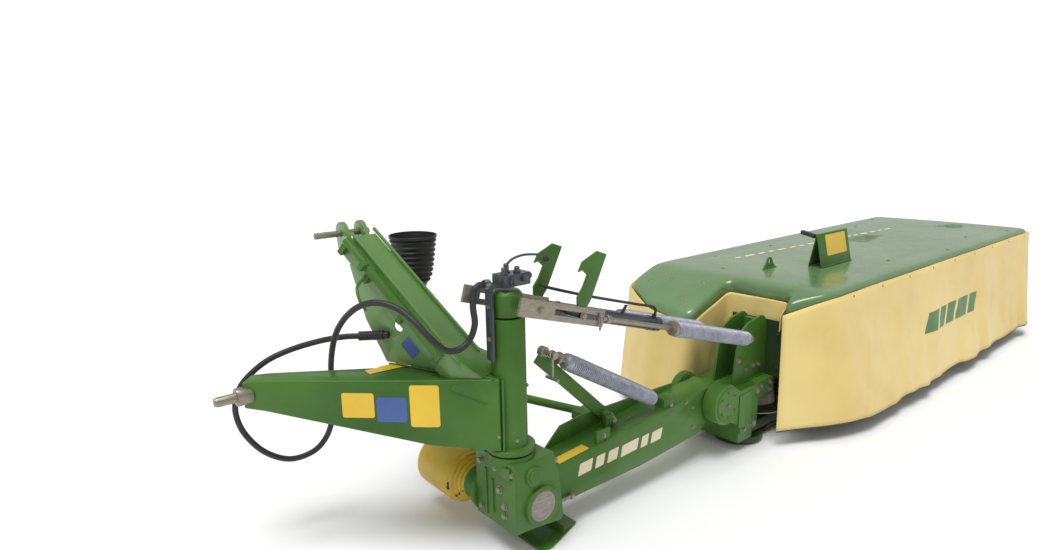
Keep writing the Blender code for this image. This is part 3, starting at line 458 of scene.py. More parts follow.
def refine(node, width):
    """Stand a copy with rounded edges in for a CAD node, without what lies past its planes in TRIMS."""
    bm = copy_of(node)
    bmesh.ops.remove_doubles(bm, verts=bm.verts, dist=2e-5)
    for place, normal in TRIMS.get(node, []):
        bmesh.ops.bisect_plane(bm, geom=bm.verts[:] + bm.edges[:] + bm.faces[:], clear_outer=True,
                               plane_co=place, plane_no=normal)
        bmesh.ops.holes_fill(bm, edges=[edge for edge in bm.edges if edge.is_boundary])
    bmesh.ops.dissolve_limit(bm, angle_limit=radians(1.5), verts=bm.verts, edges=bm.edges)
    mesh = mesh_of(f"{node}_shape", bm, finish_of(node))
    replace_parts(place_piece(mesh.name, mesh, BODY_OF[node], bevel=width), node)


def surface_of(node):
    """A CAD node's surface, ready to be met by lines."""
    bm = copy_of(node)
    tree = BVHTree.FromBMesh(bm)
    bm.free()
    return tree


def surface_point(tree, place, normal):
    """Where a line along the normal meets a surface."""
    hit = tree.ray_cast(place + normal * 0.15, -normal)
    return hit[0] if hit[0] else place


def decal(name, node, middle, normal, along, size, finish, lean=0.0):
    """A thin plate with round corners laid on a CAD node's surface."""
    tree = surface_of(node)
    normal = Vector(normal).normalized()
    along = (Vector(along) - normal * normal.dot(Vector(along))).normalized()
    up = normal.cross(along)
    half, tall = size[0] / 2, size[1] / 2
    corner = min(half, tall) * 0.18
    levels = [tall - corner * (1 - cos(radians(30 * step))) for step in range(4)]
    straight = [levels[-1] * share for share in (0.6, 0.2, -0.2, -0.6)]
    rings = []
    for b in levels + straight + [-level for level in reversed(levels)]:
        beyond = max(0.0, abs(b) - (tall - corner))
        reach = half - corner + (corner ** 2 - min(beyond, corner) ** 2) ** 0.5
        row = [Vector(middle) + along * (reach * share / 6 + b * lean) + up * b for share in range(-6, 7)]
        laid = [surface_point(tree, p, normal) for p in row]
        rings.append([p + normal * PLATE_FRONT for p in laid]
                     + [p + normal * PLATE_BACK for p in reversed(laid)])
    Shape().skin(rings).made(name, BODY_OF[node], finish)


# ---------------------------------------------------------------- frames

def refine_frames():
    """Castings, plates and box beams get their rounded edges, widths in mm."""
    widths = {
        "hitch_beam_left": 6, "hitch_beam_right": 6, "top_link_beam": 4, "coupling_panel": 2,
        "pivot_block": 5, "parking_foot": 2, "boom_arm": 6, "boom_side_plate": 2,
        "breakaway_strut": 2, "stop_link": 2, "gear_housing": 6, "bevel_gearbox": 5,
        "lift_bracket": 3, "catch_hook_near": 1.5, "catch_hook_far": 1.5, "lift_strap_near": 2,
        "lift_strap_far": 2, "hood_handle": 1.2, "handle_grip": 3, "lifting_lug": 2,
        "valve_block": 3, "cutterbar": 3, "inner_skid": 3, "shaft_holder": 2,
        "post": 3, "swivel_pin": 3, "drive_housing": 3, "hitch_pin_left": 2,
        "hitch_pin_right": 2, "top_link_pin": 1,
    }
    for node, width in widths.items():
        refine(node, width / 1000)


def add_bolts():
    """Bolts, nuts and plugs, by the body that they sit on: place in mm, direction and size."""
    groups = {
        "pivot_block": [
            (-125, 111, 352, -X, 11), (-125, 15, 358, -X, 9), (-125, 91, 271, -X, 13),
            (-125, 63, 213, -X, 11), (-125, 65, 175, -X, 11), (-125, 210, 350, -X, 11),
            (-125, 210, 160, -X, 11), (75, 0, 360, -Y, 8), (75.5, 240, 360, Y, 9), (20, 240, 340, Y, 9),
        ],
        "headstock": [
            (-79, 38, 472, (-0.38, -0.92, 0), 5), (-144, 60, 501, (-0.65, -0.76, 0), 5),
            (-7, 100, 439.5, Z, 11), (-97.5, 165, 439.5, Z, 11), (0, 70, 660, (0.9, -0.43, 0), 6),
            (-134, 100, 900, X, 7), (-142, 100, 860, -X, 7), (-142, 100, 980, -X, 7),
        ],
        "boom": [
            (517, 120, 350, -Y, 15), (931, 50, 339, -Y, 9), (620, 120, 326.3, Z, 8),
            (980, 50, 300, -Y, 8), (990, 50, 200, -Y, 8), (830, 62, 352, -Y, 12), (400, 62, 335, -Y, 9),
        ],
        "deck": [
            (1383, -30, 300, -Y, 15), (1361, -30, 137, -Y, 15), (1293, -30, 121, -Y, 10),
            (1149, -30, 282, -Y, 10), (1310, 30, 455, -Y, 13), (1373, 30, 397, -Y, 11),
            (1488, 30, 395, -Y, 11), (1440, 30, 400, -Y, 11), (1519, -20, 267, -Y, 11),
            (1519, -20, 305, -Y, 11), (1440, -20, 305, -Y, 11), (1340, 245, 300, Y, 12),
            (1340, 245, 140, Y, 12),
        ],
    }
    for body, bolts in groups.items():
        heads = Shape()
        for x, y, z, normal, size in bolts:
            heads.bolt(Vector((x, y, z)) / 1000, normal, size)
        heads.made(f"{body}_bolts", body, ZINC, 30)


def add_housing_details():
    """Rings, covers and cast ribs on the pivot block and on the deck's gear housing."""
    Shape().turned([(50, 0), (58, 0), (59.5, 2.5), (50, 3.5), (48.5, 1.5)], (0.0, -0.0095, 0.2), -Y,
                   40).made("hinge_pipe_lip", "pivot_block", STEEL, 50)
    plug = Shape()
    plug.turned([(26, -2), (26, 4), (22, 6), (20, 3), (1, 3)], (-0.038, -0.012, 0.333), -Y, 32)
    plug.turned([(34, -1), (32, 3)], (-0.1, 0.12, 0.2), -X, 28)
    plug.block((-0.1255, 0.135, 0.3), (-0.1255, 0.135, 0.16), 0.012, 0.012)
    plug.block((-0.1255, 0.175, 0.33), (-0.1255, 0.175, 0.14), 0.01, 0.01)
    plug.prism([(-0.1245, 0.02, 0.335), (-0.1245, 0.1, 0.335), (-0.1245, 0.118, 0.375),
                (-0.1245, 0.02, 0.38)], Vector((-0.01, 0, 0)))
    plug.made("pivot_block_trim", "pivot_block", GREEN, bevel=0.0025)
    cover = Shape()
    cover.turned([(84, -2), (84, 4), (79, 6.5), (74, 5.5), (70, 3), (1, 3)], (GEAR_X, -0.03, GEAR_Z), -Y, 48)
    for angle in (35, 90, 145, 215, 270, 325):
        turn = radians(angle)
        spot = (GEAR_X + 0.062 * cos(turn), -0.033, GEAR_Z + 0.062 * sin(turn))
        cover.turned([(6, -2), (6, 5), (4, 6)], spot, -Y, 8)
    cover.prism([(1.24, -0.0295, 0.305), (1.345, -0.0295, 0.315), (1.345, -0.0295, 0.12),
                 (1.24, -0.0295, 0.145)], Vector((0, -0.006, 0)))
    for x in (1.262, 1.295, 1.326):
        cover.block((x, -0.034, 0.3), (x, -0.034, 0.15), 0.012, 0.006, X)
    cover.block((1.12, 0.246, 0.19), (1.38, 0.246, 0.315), 0.012, 0.01)
    cover.made("gear_housing_cover", "deck", GREEN, bevel=0.002)
    cap = Shape().turned([(66, -2), (66, 6), (60, 9), (30, 9), (26, 5), (1, 5)], (1.148, 0.246, 0.287), Y, 40)
    cap.made("deck_pin_cap", "deck", STEEL, 40)


def add_welds():
    """Weld beads where plates and beams meet, places in mm."""
    beads = {
        "headstock": [
            [(-152, 67, 722), (-200, 200, 722.5), (-215, 260, 722.5)],
            [(-130, 50, 445), (-127, 52, 580), (-127, 52, 715)],
            [(-235, 220, 722.5), (-300, 380, 722.5), (-345, 480, 722.5)],
        ],
        "boom": [
            [(790, 61.5, 325), (830, 61.5, 325.5), (870, 61.5, 329)],
            [(360, 61.5, 305), (400, 61.5, 307.5), (440, 61.5, 311)],
            [(30, 51, 256), (75, 50.5, 258), (120, 50, 258)],
        ],
        "deck": [
            [(1270, 29.5, 333), (1400, 29.5, 333), (1550, 29.5, 333)],
            [(2110, 46, 803.5), (2280, 46, 803.5), (2450, 46, 803.5)],
            [(1860, 249, 802.5), (1920, 249, 802.5), (1980, 249, 802.5)],
        ],
    }
    for body, runs in beads.items():
        bead = Shape()
        for run in runs:
            line = spline([Vector(place) / 1000 for place in run], 16)
            bead.tube(line, [0.0035 + 0.0007 * (i % 2) for i in range(len(line))], 6)
        bead.made(f"{body}_welds", body, GREEN, 60)


# ---------------------------------------------------------------- lift gear

def on_lift(x, y, rise=0.0):
    """The point of the lift gear's axis at a given X, raised square to it."""
    normal = Vector((-LIFT_ALONG.z, 0, LIFT_ALONG.x))
    return Vector((LIFT_X, y, LIFT_Z)) + LIFT_ALONG * ((x - LIFT_X) / LIFT_ALONG.x) + normal * rise


def coil(shape, start, along, length):
    """A tight coil spring, drawn in a little at both ends."""
    per_turn = 16
    side, up = sides_of(along)
    turns = length / (SPRING_WIRE * COIL_PITCH)
    points = []
    for step in range(int(turns * per_turn) + 1):
        share = step / (turns * per_turn)
        angle = 2 * pi * step / per_turn
        spread = (SPRING_RADIUS - SPRING_WIRE) * (1.0 if 0.015 < share < 0.985 else 0.96)
        points.append(start + along * (length * share) + (side * cos(angle) + up * sin(angle)) * spread)
    shape.tube(points, SPRING_WIRE, 6)


def add_lift_springs():
    """The two coil springs beside the lift cylinder, with their end cups and nuts."""
    along = LIFT_ALONG
    for name, y, first, last in (("near", SPRING_NEAR_Y, 0.735, 1.3), ("far", SPRING_FAR_Y, 0.66, 1.25)):
        reach = (last - first) / along.x
        base = on_lift(first, y)
        wound = Shape()
        coil(wound, base + along * 0.006, along, reach - 0.016)
        piece = wound.made(f"lift_spring_{name}_coil", "lift_rod", SPRING, 70)
        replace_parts(piece, f"lift_spring_{name}")
        ends = Shape()
        ends.turned([(17, -10), (31, -8), (33, 0), (33, 6), (27, 12), (27, 40), (17, 40)], base, along, 28)
        ends.turned([(26, -20), (27, 0), (24, 6), (14, 10), (14, 45), (10, 52), (1, 52)],
                    base + along * (reach - 0.004), along, 24)
        ends.turned([(19, 0), (21, 2), (21, 14), (19, 16)], base + along * (reach + 0.018), along, 6)
        ends.made(f"lift_spring_{name}_ends", "lift_rod", ZINC, 35)


def add_relief_spring():
    """The spring that carries part of the deck's weight, and its threaded adjuster."""
    top, bottom = Vector((0.21, LIFT_Y, 0.7)), Vector((0.775, LIFT_Y, 0.3765))
    along = (bottom - top).normalized()
    wound = Shape()
    coil(wound, top + along * 0.028, along, 0.575)
    wound.turned([(30, 0), (33, 6), (31, 10), (33, 14), (35, 20), (33, 26), (31, 34), (26, 50)],
                 top, along, 28)
    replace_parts(wound.made("relief_spring_coil", "boom", SPRING, 70), "relief_spring")
    eye = Vector((0.1, LIFT_Y, 0.763))
    parts = Shape()
    pitch = ((top - eye).length - 0.012) * 1000 / 39
    thread = [(9.5 + 1.2 * (step % 2), pitch * step) for step in range(40)]
    parts.turned(thread, eye + along * 0.012, along, 16)
    parts.turned([(15, 0), (17, 3), (17, 16), (15, 19)], eye + along * 0.052, along, 6)
    parts.turned([(13, 0), (24, 4), (26, 12), (22, 18), (12, 20)], eye + along * 0.078, along, 24)
    parts.turned([(17, -17), (20.5, -13), (20.5, 13), (17, 17)], eye, Y, 24)
    parts.turned([(9, 0), (9, 52), (15, 54), (15, 62)], eye - Y * 0.01, -Y, 16)
    parts.tube(spline([(0.1, 0.04, 0.776), (0.1, 0.038, 0.72), (0.101, 0.04, 0.664)], 8), 0.0062, 10)
    parts.tube([(0.1, 0.006, 0.667), (0.1, 0.074, 0.667)], 0.0062, 10)
    parts.turned([(13, -8), (16, -4), (16, 4), (13, 8)], (0.1, 0.04, 0.764), Y, 16)
    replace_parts(parts.made("spring_adjuster_parts", "boom", ZINC, 35), "spring_adjuster")


def add_cylinder_parts():
    """Collar rings, the pressure pipe and its clips along the lift cylinder."""
    along = LIFT_ALONG
    start = on_lift(0.125, LIFT_Y)
    rings = Shape()
    for distance in (0.05, 0.6, 0.635):
        rings.turned([(29.5, -8), (32.5, -6), (32.5, 6), (29.5, 8)], start + along * distance, along, 28)
    rings.turned([(29, 0), (31, 3), (31, 16), (24, 24), (16.5, 26), (16.5, 16)], start + along
                 * 0.652, along, 28)
    rings.made("cylinder_collars", "lift_cylinder", BLUE_BLACK, 35)
    pipe = Shape()
    route = ((0.045, 0.066, 0.082), (0.1, 0.066, 0.078), (0.3, 0.066, 0.072), (0.55, 0.066, 0.072),
             (0.665, 0.066, 0.073), (0.7, 0.068, 0.068), (0.715, 0.072, 0.05), (0.715, 0.08, 0.028))
    pipe.tube(spline([on_lift(*place) for place in route], 6), 0.0058, 12)
    pipe.turned([(9, 0), (11, 2), (11, 14), (9, 16)], on_lift(0.715, 0.077, 0.026), (0.2, -0.3, 1), 6)
    for x in (0.27, 0.52):
        pipe.block(on_lift(x, 0.066, 0.062), on_lift(x, 0.08, 0.026), 0.016, 0.004, along)
    pipe.made("cylinder_pipe", "lift_cylinder", BLACK, 40)
    pins = Shape()
    for y, x, out in ((SPRING_NEAR_Y - 0.006, 0.2, -1), (SPRING_FAR_Y + 0.006, 0.2, 1),
                      (SPRING_NEAR_Y - 0.006, -0.005, -1)):
        pins.bolt(on_lift(x, y), Y * out, 12)
    for x, y in ((0.335, SPRING_NEAR_Y), (0.215, SPRING_FAR_Y)):
        pins.turned([(15.5, -8), (18, -6), (18, 10), (15.5, 12)], on_lift(x, y), along, 6)
    pins.tube(spline([on_lift(0.275, -0.032, 0.02), on_lift(0.288, -0.034, 0.0),
                      on_lift(0.292, -0.034, -0.045)], 6), 0.004, 8)
    pins.made("strap_pins", "lift_cylinder", ZINC, 35)


# ---------------------------------------------------------------- headstock details

HOSE_ROUTE = [     # in mm, from the valve round the end of the left beam and back to the panel
    (-175, 95, 1065), (-186, 95, 1065), (-208, 95, 1045), (-212, 95, 990), (-205, 98, 930),
    (-225, 105, 875), (-270, 110, 848), (-318, 120, 856), (-357, 150, 900), (-383, 200, 950),
    (-405, 260, 987), (-435, 310, 1005), (-467, 360, 1005), (-497, 420, 978), (-514, 500, 917),
    (-516, 580, 831), (-503, 660, 708), (-485, 710, 580), (-484, 740, 455), (-505, 765, 370),
    (-560, 780, 318), (-650, 800, 308), (-738, 820, 360), (-800, 835, 448), (-825, 840, 536),
    (-815, 840, 610), (-777, 840, 667), (-701, 820, 727), (-614, 780, 766), (-522, 700, 801),
    (-460, 620, 822), (-420, 570, 828),
]


def add_hose():
    """The free hose from the valve to the panel, with its coupler and its ferrule."""
    line = spline([HOSE_EXIT] + [Vector(place) / 1000 for place in HOSE_ROUTE], 5)
    curve = bpy.data.curves.new("hydraulic_hose_line", "CURVE")
    curve.dimensions = "3D"
    curve.bevel_depth = HOSE_RADIUS
    curve.bevel_resolution = 4
    curve.use_fill_caps = True
    run = curve.splines.new("POLY")
    run.points.add(len(line) - 1)
    for target, point in zip(run.points, line):
        target.co = (*point, 1.0)
    run.use_smooth = True
    curve.materials.append(BLACK)
    hose = linked("hydraulic_hose_line", curve)
    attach(hose, "headstock")
    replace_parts(hose, "hydraulic_hose")

    end = line[-1]
    along = (end - line[-2]).normalized()
    grip = [(13.5, 0.5), (18.5, 4)]
    for i in range(13):
        level = 7 * i
        grip += [(18.5, 8 + level), (16.8, 10.5 + level), (16.8, 12.5 + level)]
    grip += [(18.5, 100), (17.5, 104), (13.5, 105), (13.5, 122), (11, 125), (1, 125)]
    coupler = Shape().turned(grip, end, along, 24).made("hose_coupler_grip", "headstock", BLACK, 40)
    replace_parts(coupler, "hose_coupler")
    ferrule = Shape().turned([(12.5, 0), (17.5, 2), (17.5, 20), (15, 24)], HOSE_EXIT + X * 0.0255, -X, 6)
    ferrule.made("hose_ferrule", "headstock", ZINC, 30)


def add_valve_parts():
    """Fittings, caps and the hand lever on the valve block."""
    parts = Shape()
    for x, y, high in ((-0.083, 0.082, 22), (-0.055, 0.105, 30), (-0.022, 0.085, 18)):
        parts.turned([(14, -2), (14, 6), (10, 8), (10, high), (7, high + 4)], (x, y, 1.09), Z, 12)
    parts.turned([(16, -4), (16, 10), (12, 14), (12, 26), (9, 30)], (0.02, 0.095, 1.068), X, 16)
    parts.turned([(18, -4), (18, 8), (13, 12), (13, 22)], (-0.06, 0.06, 1.066), -Y, 16)
    parts.turned([(12, -4), (12, 10), (9, 13)], (-0.01, 0.06, 1.07), -Y, 12)
    parts.tube(spline([(-0.055, 0.105, 1.118), (-0.035, 0.09, 1.14), (0.0, 0.07, 1.152), (0.06, 0.06, 1.146),
                       (0.085, 0.06, 1.132)], 8), 0.0045, 10)
    parts.made("valve_fittings", "headstock", BLUE_BLACK, 35)
    knob = Shape().turned([(6, 0), (10, 4), (12, 14), (9, 24), (1, 26)], (0.082, 0.06, 1.134),
                          (0.8, 0, -0.5), 16)
    knob.made("valve_lever_knob", "headstock", BLACK, 50)


def add_drive_shaft():
    """The upright drive shaft with its ribbed cone, parked in its holder."""
    base, up = Vector((-0.085, 0.715, 0.37)), Vector((0.0, -0.02, 1)).normalized()
    profile = [(1, 0), (30, 0), (45, 20), (45, 90), (34, 110), (34, 520), (38, 530), (38, 560), (50, 585)]
    for rib in range(9):
        radius, level = 66 + 30 * (rib / 8) ** 0.6, 605 + 21 * rib
        profile += [(radius - 8, level - 4), (radius, level), (radius + 2, level + 6),
                    (radius - 4, level + 11)]
    profile += [(100, 790), (100, 800), (95, 800), (88, 740), (50, 660), (20, 660), (20, 720), (1, 720)]
    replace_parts(Shape().turned(profile, base, up, 48).made("drive_shaft_cone", "headstock", BLACK, 50),
                "drive_shaft")


def add_lock_bar():
    """The round tube and the drilled square bar along the left side of the top beam."""
    foot, head = Vector((-0.19, 0.2, 0.74)), Vector((-0.37, 0.64, 1.19))
    along = (head - foot).normalized()
    across = along.cross(Z).normalized()
    up = across.cross(along)

    def at(share, right, rise):
        return foot + (head - foot) * share + across * right + up * rise

    bar = Shape()
    bar.tube([at(0.98, -0.088, 0.03), at(0.8, -0.09, 0.03)], 0.015, 14)
    bar.block(at(0.82, -0.092, 0.028), at(0.1, -0.096, 0.02), 0.022, 0.026, across)
    bar.block(at(0.8, -0.105, 0.028), at(0.77, -0.105, 0.028), 0.03, 0.034, across)
    for share in (0.985, 0.76, 0.45, 0.14):
        bar.block(at(share, -0.07, -0.012), at(share - 0.035, -0.07, -0.012), 0.036, 0.05, across)
    bar.made("lock_bar", "headstock", GREEN, bevel=0.0018)
    holes = Shape()
    # Black domes sit in the bar's drilled holes: painted shade inside the holes.
    for share in (0.7, 0.6, 0.5, 0.4, 0.3, 0.2):
        holes.turned([(4.5, -1), (4.5, 1.2), (3, 1.5)], at(share, -0.096, 0.0355), up, 10)
    for share in (0.95, 0.86):
        holes.bolt(at(share, -0.075, 0.008), -across, 7)
    holes.made("lock_bar_pins_and_hole_shade", "headstock", BLACK, 40)
    bow = [at(0.74, -0.1, 0.0), at(0.7, -0.16, -0.01), at(0.62, -0.185, -0.02), at(0.56, -0.18, -0.03)]
    Shape().tube(spline(bow, 8), 0.0055, 10).made("hose_guide", "headstock", GREEN, 50)
    # The flanges wear the top beam's lighter green, a painted highlight.
    flanges = Shape()
    for near, far in ((0.066, 0.07), (-0.062, -0.068)):
        flanges.block(at(1.0, near, 0.052), at(0.02, far, 0.052), 0.012, 0.01, across)
    flanges.made("top_beam_edges", "headstock", SKYLIT_BEAM_GREEN, bevel=0.002)


def add_beam_gusset():
    """The raised plate on the left hitch beam that wraps round the post."""
    tree = surface_of("hitch_beam_left")
    outline = ((0.03, 0.712), (0.2, 0.702), (0.208, 0.69), (0.19, 0.678), (0.085, 0.634), (0.03, 0.626))
    laid = [surface_point(tree, BEAM_START + BEAM_ALONG * distance + BEAM_OUT * 0.07 + Z * z, BEAM_OUT)
            for distance, z in outline]
    gusset = Shape().prism([p - BEAM_OUT * 0.001 for p in laid], BEAM_OUT * 0.006)
    gusset.made("beam_gusset", "headstock", GREEN, bevel=0.002)


def add_guard_details():
    """The yellow guard's moulded rings, two black discs on its rim as painted shade of its holes, and its
    toothed seam.
    """
    axis = Vector((-0.055, 0.0, 0.185))
    profile = [(1, 335.2), (68, 335.2), (71, 338), (72, 348), (80, 350), (83, 354), (83, 364), (91, 366),
               (94, 370), (94, 379), (103, 381), (106, 386), (107, 394), (113, 398), (117, 408), (117, 600),
               (116.5, 617), (114.5, 620), (112, 617), (112, 410), (85, 375), (60, 345), (1, 345)]
    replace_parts(Shape().turned(profile, axis, Y, 56).made("shaft_guard_shell", "pivot_block", YELLOW, 30),
                "shaft_guard")
    seam = Shape()
    # Two black discs on the rim: painted shade where the holes are.
    for angle, size in ((188, 10), (179, 7)):
        spot = axis + Vector((cos(radians(angle)) * 0.1065, 0.3915, sin(radians(angle)) * 0.1065))
        seam.turned([(size, -2), (size, 1.2), (size * 0.6, 1.5)], spot, (-0.3, -1, 0), 14)
    for step in range(9):
        angle = radians(214 - step * 2.2)
        radius = 0.098 - 0.0045 * step
        level = 0.386 - 0.0055 * step
        spot = axis + Vector((cos(angle) * radius, level - 0.004, sin(angle) * radius))
        seam.block(spot, spot + Vector((0.006, -0.007, 0.004 if step % 2 else -0.004)), 0.008, 0.006)
    seam.made("shaft_guard_seam_and_hole_shade", "pivot_block", SEAM_BLACK_AND_HOLE_SHADE, 40)


def add_bracket_back():
    """The dark bulkhead behind the deck's bracket, bolted to the cutterbar."""
    back = Shape().block((1.5535, 0.075, 0.3305), (1.5535, 0.075, 0.62), 0.31, 0.008)
    for y in (-0.055, 0.205):
        back.block((1.575, y, 0.3305), (1.575, y, 0.6), 0.008, 0.036)
        for z in (0.38, 0.55):
            back.bolt((1.5495, y + 0.018, z), -X, 10)
    back.made("bracket_back", "deck", DARK_GREEN, 35)


def add_foot_pin():
    """The parking foot's locking pin, and the hose clip on top of the pivot block."""
    pin = Shape()
    pin.tube([(0.105, 0.04, 0.15), (0.185, 0.035, 0.15)], 0.0065, 12)
    pin.turned([(10, 0), (12, 2), (12, 14), (10, 17)], (0.182, 0.0352, 0.15), X, 14)
    pin.made("locking_pin", "pivot_block", ZINC, 35)
    bow = [(-0.012, 0.205, 0.405), (-0.018, 0.2, 0.43), (0.004, 0.2, 0.442), (0.03, 0.205, 0.43),
           (0.038, 0.21, 0.4)]
    Shape().tube(spline(bow, 8), 0.0045, 8).made("block_hose_clip", "pivot_block", BLACK, 50)


def add_plates():
    """Blank yellow and blue plates, and the plain marks that take the place of lettering."""
    for name, distance, z, size, finish in (("plate_a", 0.548, 0.622, (0.12, 0.095), PLATE_YELLOW),
                                            ("plate_b", 0.424, 0.607, (0.112, 0.095), PLATE_BLUE),
                                            ("plate_c", 0.302, 0.622, (0.108, 0.16), PLATE_YELLOW)):
        middle = BEAM_START + BEAM_ALONG * distance + BEAM_OUT * 0.075 + Z * z
        decal(name, "hitch_beam_left", middle, BEAM_OUT, BEAM_ALONG, size, finish)
    decal("plate_d", "hitch_beam_left", (-0.375, 0.452, 0.72), Z, (0.98, -0.12, 0), (0.15, 0.05),
          PLATE_YELLOW)
    decal("plate_e", "boom_arm", (0.235, 0.086, 0.297), Z, X, (0.165, 0.046), PLATE_YELLOW)
    decal("plate_f", "hood_handle", (2.303, 0.07, 0.915), (0, -0.98, 0.2), X, (0.225, 0.118), PLATE_YELLOW)
    decal("plate_g", "coupling_panel", (-0.288, 0.395, 0.8), (-0.926, -0.379, 0), (-0.27, 0.66, 0.7),
          (0.075, 0.075), PLATE_BLUE)
    place = 0.245
    for index, width in enumerate((0.075, 0.05, 0.06, 0.105, 0.045, 0.07)):
        decal(f"boom_mark_{index + 1}", "boom_arm", (place + width / 2, 0.05, 0.238), -Y, (1, 0, 0.05),
              (width, 0.05), MARK_CREAM, lean=0.3)
        place += width + 0.022


# ---------------------------------------------------------------- hood

def offset_outline(corners, inset):
    """Every side of a counter-clockwise outline moved in by the same amount."""
    count = len(corners)
    moved = []
    for i in range(count):
        before, here, after = (Vector(corners[(i + k) % count]) for k in (-1, 0, 1))
        first, second = (here - before).normalized(), (after - here).normalized()
        bisector = (first.orthogonal() + second.orthogonal()).normalized()
        moved.append(here + bisector * (inset / bisector.dot(first.orthogonal())))
    return moved


def rounded(corners, radius, steps=6, loop=True):
    """An outline or path with each corner turned into a curve."""
    points = [Vector(p) for p in corners]
    made = []
    for i, here in enumerate(points):
        if not loop and i in (0, len(points) - 1):
            made.append(here)
            continue
        before, after = points[i - 1], points[(i + 1) % len(points)]
        reach = min(radius, (before - here).length * 0.45, (after - here).length * 0.45)
        start, end = here + (before - here).normalized() * reach, here + (after - here).normalized() * reach
        for k in range(steps + 1):
            t = k / steps
            made.append(start * (1 - t) ** 2 + here * 2 * t * (1 - t) + end * t * t)
    return made


def hood_drop(x):
    """How far the hood falls below its top inboard, with a soft start."""
    reach = HOOD_SLOPE_X - x
    return HOOD_SLOPE * (reach + hypot(reach, 0.04)) / 2


def hood_level(x, y):
    """The pressed top: crowned, with two pockets and a shallow step along the rear."""
    low = 0.004 * ((y - 0.28) / 0.5) ** 2
    for middle_x, middle_y, half_x, half_y, depth in ((3.28, 0.365, 0.15, 0.045, 0.026),
                                                      (4.27, 0.15, 0.075, 0.04, 0.022)):
        across, along = (x - middle_x) / half_x, (y - middle_y) / half_y
        reach = max(abs(across), abs(along / (1.25 - 0.6 * across)))
        low += depth * min(1.0, max(0.0, (1.12 - reach) / 0.24))
    if 1.85 < x < 4.4:
        low += sum(0.0035 / (1 + ((y - edge) / 0.018) ** 2) for edge in (-0.14, 0.7))
    return -low - hood_drop(x)


def hood_ring(inset):
    """The hood's rounded outline moved in, with the same number of points at every inset."""
    base = rounded(HOOD_CORNERS, HOOD_CORNER)
    moved = rounded(offset_outline(HOOD_CORNERS, inset), HOOD_CORNER)
    ring = []
    for i, start in enumerate(moved):
        following = (i + 1) % len(moved)
        parts = max(1, ceil((base[following] - base[i]).length / 0.05))
        ring += [start.lerp(moved[following], k / parts) for k in range(parts)]
    return ring


def add_hood_top(bm, edge):
    """Fill the ring of edge vertices with a fine triangle mesh."""
    spacing, clear = 0.025, 0.03
    near = KDTree(len(edge))
    for i, vert in enumerate(edge):
        near.insert(vert.co, i)
    near.balance()
    inside = []
    for a in range(int(3.3 / spacing)):
        for b in range(int(1.1 / spacing)):
            spot = Vector((1.24 + a * spacing, -0.26 + b * spacing))
            if near.find((*spot, edge[0].co.z))[2] > clear:
                inside.append(spot)
    outline = [vert.co.xy for vert in edge]
    spots, _, faces, sources, _, _ = delaunay_2d_cdt(outline + inside, [], [list(range(len(edge)))], 1, 1e-6)
    verts = {}
    for face in faces:
        for i in face:
            if i not in verts:
                known = [k for k in sources[i] if k < len(edge)]
                verts[i] = edge[known[0]] if known else bm.verts.new((*spots[i], edge[0].co.z))
        bm.faces.new([verts[i] for i in face])


def add_hood():
    """The pressed hood, its rivets and the pale dashed stripe along its top."""
    pressed = Shape()
    profile = [(0.0, -0.118), (0.0, -0.03), (0.002, -0.018), (0.007, -0.008), (0.015, -0.002), (0.024, 0.0)]
    rows = pressed.wall([[(*p, HOOD_TOP + level) for p in hood_ring(inset)] for inset, level in profile])
    add_hood_top(pressed.bm, rows[-1])
    for vert in pressed.bm.verts:
        vert.co.z += hood_level(vert.co.x, vert.co.y)
    shell = pressed.made("hood_shell", "deck", HOOD_GREEN, 60)
    thicken(shell, HOOD_SHEET, -1)
    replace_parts(shell, "hood")

    rivets = Shape()
    for x, y in ((1.5, 0.6), (1.52, 0.4), (1.75, 0.44), (2.05, 0.7), (2.6, -0.1), (2.6, 0.66), (3.2, -0.2),
                 (3.2, 0.76), (3.8, -0.1), (3.8, 0.66), (4.3, 0.76), (4.3, -0.2), (1.46, 0.72), (1.36, 0.42)):
        tilt = Vector((-HOOD_SLOPE if x < HOOD_SLOPE_X else 0.0, 0, 1))
        rivets.turned([(10, -1), (10, 1.5), (7, 3), (2, 3.5)], (x, y, HOOD_TOP + hood_level(x, y)), tilt, 12)
    rivets.made("hood_rivets", "deck", ZINC, 50)
    dashes = Shape()
    spot, share = Vector((2.05, 0.56)), 0.0
    heading = (Vector((3.88, 0.425)) - spot).normalized()
    for index in range(17):
        size = (0.05, 0.085, 0.065)[index % 3]
        first, last = spot + heading * share, spot + heading * (share + size)
        aside = heading.orthogonal() * 0.014
        ring = [first - aside, last - aside, last + aside + heading * 0.012, first + aside + heading * 0.012]
        dashes.prism([(p.x, p.y, HOOD_TOP + hood_level(p.x, p.y) + 0.0004) for p in ring], Z * 0.0008)
        share += size + 0.042
    dashes.made("hood_stripe", "deck", MARK_CREAM, 30)


# ---------------------------------------------------------------- curtains

